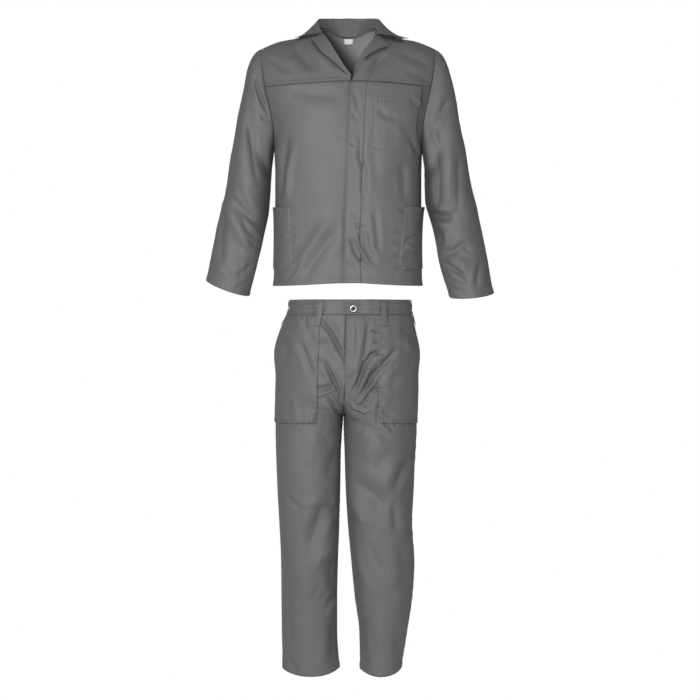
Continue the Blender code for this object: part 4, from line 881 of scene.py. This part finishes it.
for cloth, seed, width in ((leg_front_right, 31.0, 0.285), (leg_front_left, 37.0, 0.290),
                           (leg_back_right, 41.0, 0.290), (leg_back_left, 47.0, 0.295)):
    cloth.drape(seed=seed, **trouser_swells)
    cloth.crumple(0.0004, 0.028, seed)
    hem = cloth.border((0, 0, -1))
    for line in cloth.borders():
        middle = line.mean(axis=0)
        if middle[2] > np.mean(hem[:, 2]) + 0.05:
            outer = abs(middle[0]) > 0.15
            cloth.seam(line, width=0.007, sink=0.0002, pucker=0.0009, wave=0.031 if outer else 0.014,
                       turned=outer or np.mean(line[:, 1]) > -0.06)
    cloth.turn_up(hem, 0.017, lift=0.0013)
    if cloth in (leg_front_right, leg_front_left):
        # The deep folds get painted shade in their troughs
        cloth.folds(trouser_folds, FOLD_STEP, ends=0.28, dark=0.15, dark_from=5.5)
        x, y, z = cloth.points.T
        # A painted shadow runs along the fly's free edge, where the right front also sinks, and painted shade
        # darkens the crotch
        fly_side = np.exp(-((x + 0.0058 - (z + 0.77) * 0.030) / 0.0020) ** 2)
        fly_side *= (1.0 - smooth_step(-z, 0.86, 0.92)) * (y < 0)
        cloth.heights -= 0.0025 * fly_side * (cloth is leg_front_right)
        cloth.tone *= 1.0 - 0.70 * fly_side
        crotch = np.exp(-((x + 0.0118) / 0.0060) ** 2) * smooth_step(-z, 0.990, 1.030)
        cloth.tone *= 1.0 - 0.6 * crotch * (1.0 - smooth_step(-z, 1.06, 1.14))
        # The edge below the crotch stays where it is, close beside the other leg
        inner = [line for line in cloth.borders() if line[:, 2].max() > -1.2]
        low = np.concatenate([line[line[:, 2] < -0.962] for line in inner])
        gap = cloth.away(low[np.argsort(-low[:, 2])])[0]
        cloth.heights *= smooth_step(gap, 0.0, 0.010)
    cloth.finish(trouser_twill, leg_around, (width, 1.04), "trousers_cloth", area=0.283)
    stitch(trouser_thread, cloth, hem, 0.0150)
    for line in cloth.borders():
        middle = line.mean(axis=0)
        if middle[2] > -1.1 and abs(middle[0]) < 0.03:
            stitch(trouser_thread, cloth, line, 0.0025)


# Waistband, its loops and the fly. The band is folded double and stitched along both edges, with the
# gathered elastic's ripples; its left end laps over the right. The loops are narrow folded strips.
HIP_RADIUS = 0.160


def hip_around(points):
    """UV metres at the waist: round it, and up it."""
    x, y, z = points.T
    return HIP_RADIUS * np.arctan2(x, -(y - 0.003)), z


band = Cloth("trousers_waistband")
x, y, z = band.points.T
level = (z + 0.7365) / 0.020  # From -1 at the band's lower edge to 1 at its upper edge
round_band = HIP_RADIUS * np.arctan2(x, -y)
uneven = 0.6 + 0.4 * np.sin(round_band / 0.021 + 1.0)
ripple = 0.0027 * np.sin(level * 5.2 + 0.8 * np.sin(round_band / 0.035)) * uneven
band.heights += ripple * (1.0 - smooth_step(np.abs(level), 0.75, 1.0))
band.heights += 0.0003 * np.sin(round_band / 0.0052 + 1.3 * np.sin(round_band / 0.023))
band.tone *= 1.0 - 0.10 * np.exp(-((level + 0.25) / 0.10) ** 2) - 0.08 * np.exp(-((level - 0.45) / 0.09) ** 2)
# Painted shadow on the band's front beside each loop
for name in ("right", "left"):
    for side in [corner[0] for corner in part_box("trousers_loop_front_" + name)]:
        band.tone *= 1.0 - 0.35 * np.exp(-((x - side) / 0.0034) ** 2) * (y < 0)
for line in band.borders():
    band.turn_up(line, 0.004, lift=0.0005, pucker=0.0004, wave=0.014)
band.finish(trouser_twill, hip_around, (0.99, 0.040), "trousers_cloth", period=HIP_RADIUS * 2 * math.pi)
for line in band.borders():
    stitch(trouser_thread, band, line, 0.0035)
for name in ("front_right", "front_left", "side_right", "side_left", "back"):
    loop = Cloth("trousers_loop_" + name)
    height = (loop.points[:, 2] + 0.7535) / 0.034  # From -1 at the loop's lower end to 1 at its upper end
    loop.heights += (-0.0020 if "side" in name else 0.0022) * np.clip(1.0 - height ** 2, 0, 1)
    loop.heights += 0.0006 * np.exp(-((np.abs(height) - 0.86) / 0.08) ** 2)
    for line in loop.borders():
        if len(line) > 30:
            loop.turn_up(line, 0.002, lift=0.0003, pucker=0.0)
    loop.finish(trouser_twill, hip_around, (0.0155, 0.072), "trousers_cloth")
    for line in loop.borders():
        stitch(trouser_thread, loop, line, 0.0022 if len(line) > 30 else 0.0050, pitch=0.0030)
fly = Cloth("trousers_fly", levels=4, across=0.001)
fly_borders = fly.borders()
fly_edge = min(fly_borders, key=lambda line: float(np.mean(line[:, 0])))
fly.drape(seed=37.0, **trouser_swells)
for line in fly_borders:
    if line is fly_edge:
        fly.turn_up(line, 0.004, lift=0.0008, pucker=0.0005)
    else:
        fly.turn_up(line, 0.005, lift=0.0002, pucker=0.0002, press=0.0008)
fly.folds(trouser_folds, FOLD_STEP, ends=0.28)
fly.finish(trouser_twill, hip_around, (0.052, 0.176), "trousers_cloth", area=0.0080)
for line in fly_borders:
    if np.mean(line[:, 0]) > 0.005 and np.mean(line[:, 2]) < -0.78:
        stitch(trouser_thread, fly, line, 0.0030, 0.0090)


# Trouser pockets. Large patches from the waist seam to the thigh, open at the side, where their slanted
# mouths stand off the hip; the inner and lower edges are stitched twice and pucker between the rows.
pocket_right = Cloth("trousers_pocket_right", weld=0.012)
pocket_left = Cloth("trousers_pocket_left", weld=0.012)
for cloth, seed in ((pocket_right, 31.0), (pocket_left, 37.0)):
    cloth.drape(seed=seed, **trouser_swells)
    cloth.crumple(0.0004, 0.028, seed)
    for line in cloth.borders():
        mouth = abs(np.mean(line[:, 0] + 0.010)) > 0.150
        cloth.turn_up(line, 0.008, lift=0.0004, pucker=0.0003 if mouth else 0.0016, wave=0.017,
                      press=0.0006 if mouth else 0.0015)
    cloth.folds(trouser_folds, FOLD_STEP, ends=0.28)
    cloth.finish(trouser_twill, leg_around, (0.190, 0.308), "trousers_cloth", area=0.0575)
    for line in cloth.borders():
        stitch(trouser_thread, cloth, line, 0.0018, 0.0078)
thread_piece(trouser_thread, "trousers_stitches", (0.10, 0.104, 0.104))


# Waist button. A shank button pressed from steel: a rolled bright rim round a dished, darker middle, held
# by a rivet through the band.
button_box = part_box("trousers_waist_button")
button_middle = [(low + high) / 2 for low, high in zip(*button_box)]
profile = [(0.0, 0.0), (0.0042, 0.0), (0.0042, 0.0012), (0.0084, 0.0013), (0.0094, 0.0020), (0.0095, 0.0027),
           (0.0088, 0.0034), (0.0076, 0.0036), (0.0064, 0.0032), (0.0057, 0.0022), (0.0050, 0.0018),
           (0.0026, 0.0017), (0.0020, 0.0022), (0.0010, 0.0025), (0.0, 0.0026)]
turned = bmesh.new()
verts = [turned.verts.new((radius, 0.0, height)) for radius, height in profile]
edges = [turned.edges.new(pair) for pair in zip(verts, verts[1:])]
bmesh.ops.spin(turned, geom=verts + edges, axis=(0, 0, 1), cent=(0, 0, 0), steps=48, angle=2 * math.pi,
               use_merge=True)
bmesh.ops.remove_doubles(turned, verts=turned.verts, dist=1e-6)
bmesh.ops.recalc_face_normals(turned, faces=turned.faces)
bmesh.ops.transform(turned, matrix=Matrix.Rotation(math.radians(90), 4, "X"), verts=turned.verts)
bmesh.ops.translate(turned, vec=(button_middle[0], button_box[1][1], button_middle[2]), verts=turned.verts)
for face in turned.faces:
    middle = face.calc_center_median()
    out = math.hypot(middle.x - button_middle[0], middle.z - button_middle[2])
    face.material_index = 1 if out < 0.0056 else 0
button_data = to_data(turned, "trousers_waist_button_steel")
button_data.shade_smooth()
for name, grey, roughness in (("button rim steel", 0.55, 0.30), ("button middle steel", 0.045, 0.38)):
    steel, tree, shader = new_material(name, {"Metallic": 1.0})
    place = new_node(tree, "TexCoord").outputs["Object"]
    scuffs = new_node(tree, "TexNoise", {"Vector": place, "Scale": 600.0}).outputs["Fac"]
    tones = two_tones(tree, scuffs, (grey * 0.7, grey * 0.7, grey * 0.68), (grey, grey, grey * 0.97))
    rough = new_node(tree, "MapRange", {"Value": scuffs, "To Min": roughness * 0.7,
                                        "To Max": roughness * 1.4})
    tree.links.new(tones, shader.inputs["Base Color"])
    tree.links.new(rough.outputs["Result"], shader.inputs["Roughness"])
    button_data.materials.append(steel)
button = new_object("trousers_waist_button_steel", button_data)
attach(button, "root")
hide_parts("trousers_waist_button")


# Studio: a pale floor under the suit, soft light from the front and above, and the camera.
floor_mesh = bmesh.new()
floor_place = Matrix.Translation((0, 0, -2.20))
bmesh.ops.create_grid(floor_mesh, x_segments=2, y_segments=2, size=3.0, matrix=floor_place)
floor = new_object("floor", to_data(floor_mesh, "floor"))
pale = new_material("pale floor", {"Base Color": (0.9, 0.9, 0.9, 1.0), "Roughness": 0.9})
floor.data.materials.append(pale[0])

white = (1.0, 1.0, 1.0, 1.0)
world = bpy.data.worlds.new("studio")
bpy.context.scene.world = world
world.use_nodes = True
tree = world.node_tree
sky = tree.nodes["Background"]
sky.inputs["Color"].default_value = white
sky.inputs["Strength"].default_value = 0.32
wall = new_node(tree, "Background", {"Color": white, "Strength": 1.0})
seen = new_node(tree, "LightPath").outputs["Is Camera Ray"]
both = new_node(tree, "MixShader", {"Fac": seen, 1: sky.outputs["Background"], 2: wall.outputs["Background"]})
tree.links.new(both.outputs["Shader"], tree.nodes["World Output"].inputs["Surface"])
bpy.context.scene.view_settings.view_transform = "Standard"


def softbox(name, place, aim, size, power):
    """A square area light that faces a point."""
    light = bpy.data.lights.new(name, "AREA")
    light.shape = "SQUARE"
    light.size = size
    light.energy = power
    lamp = new_object(name, light)
    lamp.location = place
    lamp.rotation_euler = (Vector(aim) - Vector(place)).to_track_quat("-Z", "Y").to_euler()


softbox("softbox front", (-0.55, -2.8, -0.20), (0.0, 0.0, -0.58), 0.8, 78.0)
softbox("softbox back", (0.0, 3.4, 0.30), (0.0, 0.0, -0.70), 1.0, 82.0)

lens = bpy.data.cameras.new("camera")
lens.sensor_width = 36.0
shown_width = 1.96 / 0.998  # Metres across the picture at the suit
camera = new_object("camera", lens)
camera.location = (0.0056, -12.0, -0.60)
sight = Vector((0.0056, 0.0, -0.857)) - camera.location
camera.rotation_euler = sight.to_track_quat("-Z", "Y").to_euler()
lens.lens = lens.sensor_width * sight.length / shown_width
bpy.context.scene.camera = camera
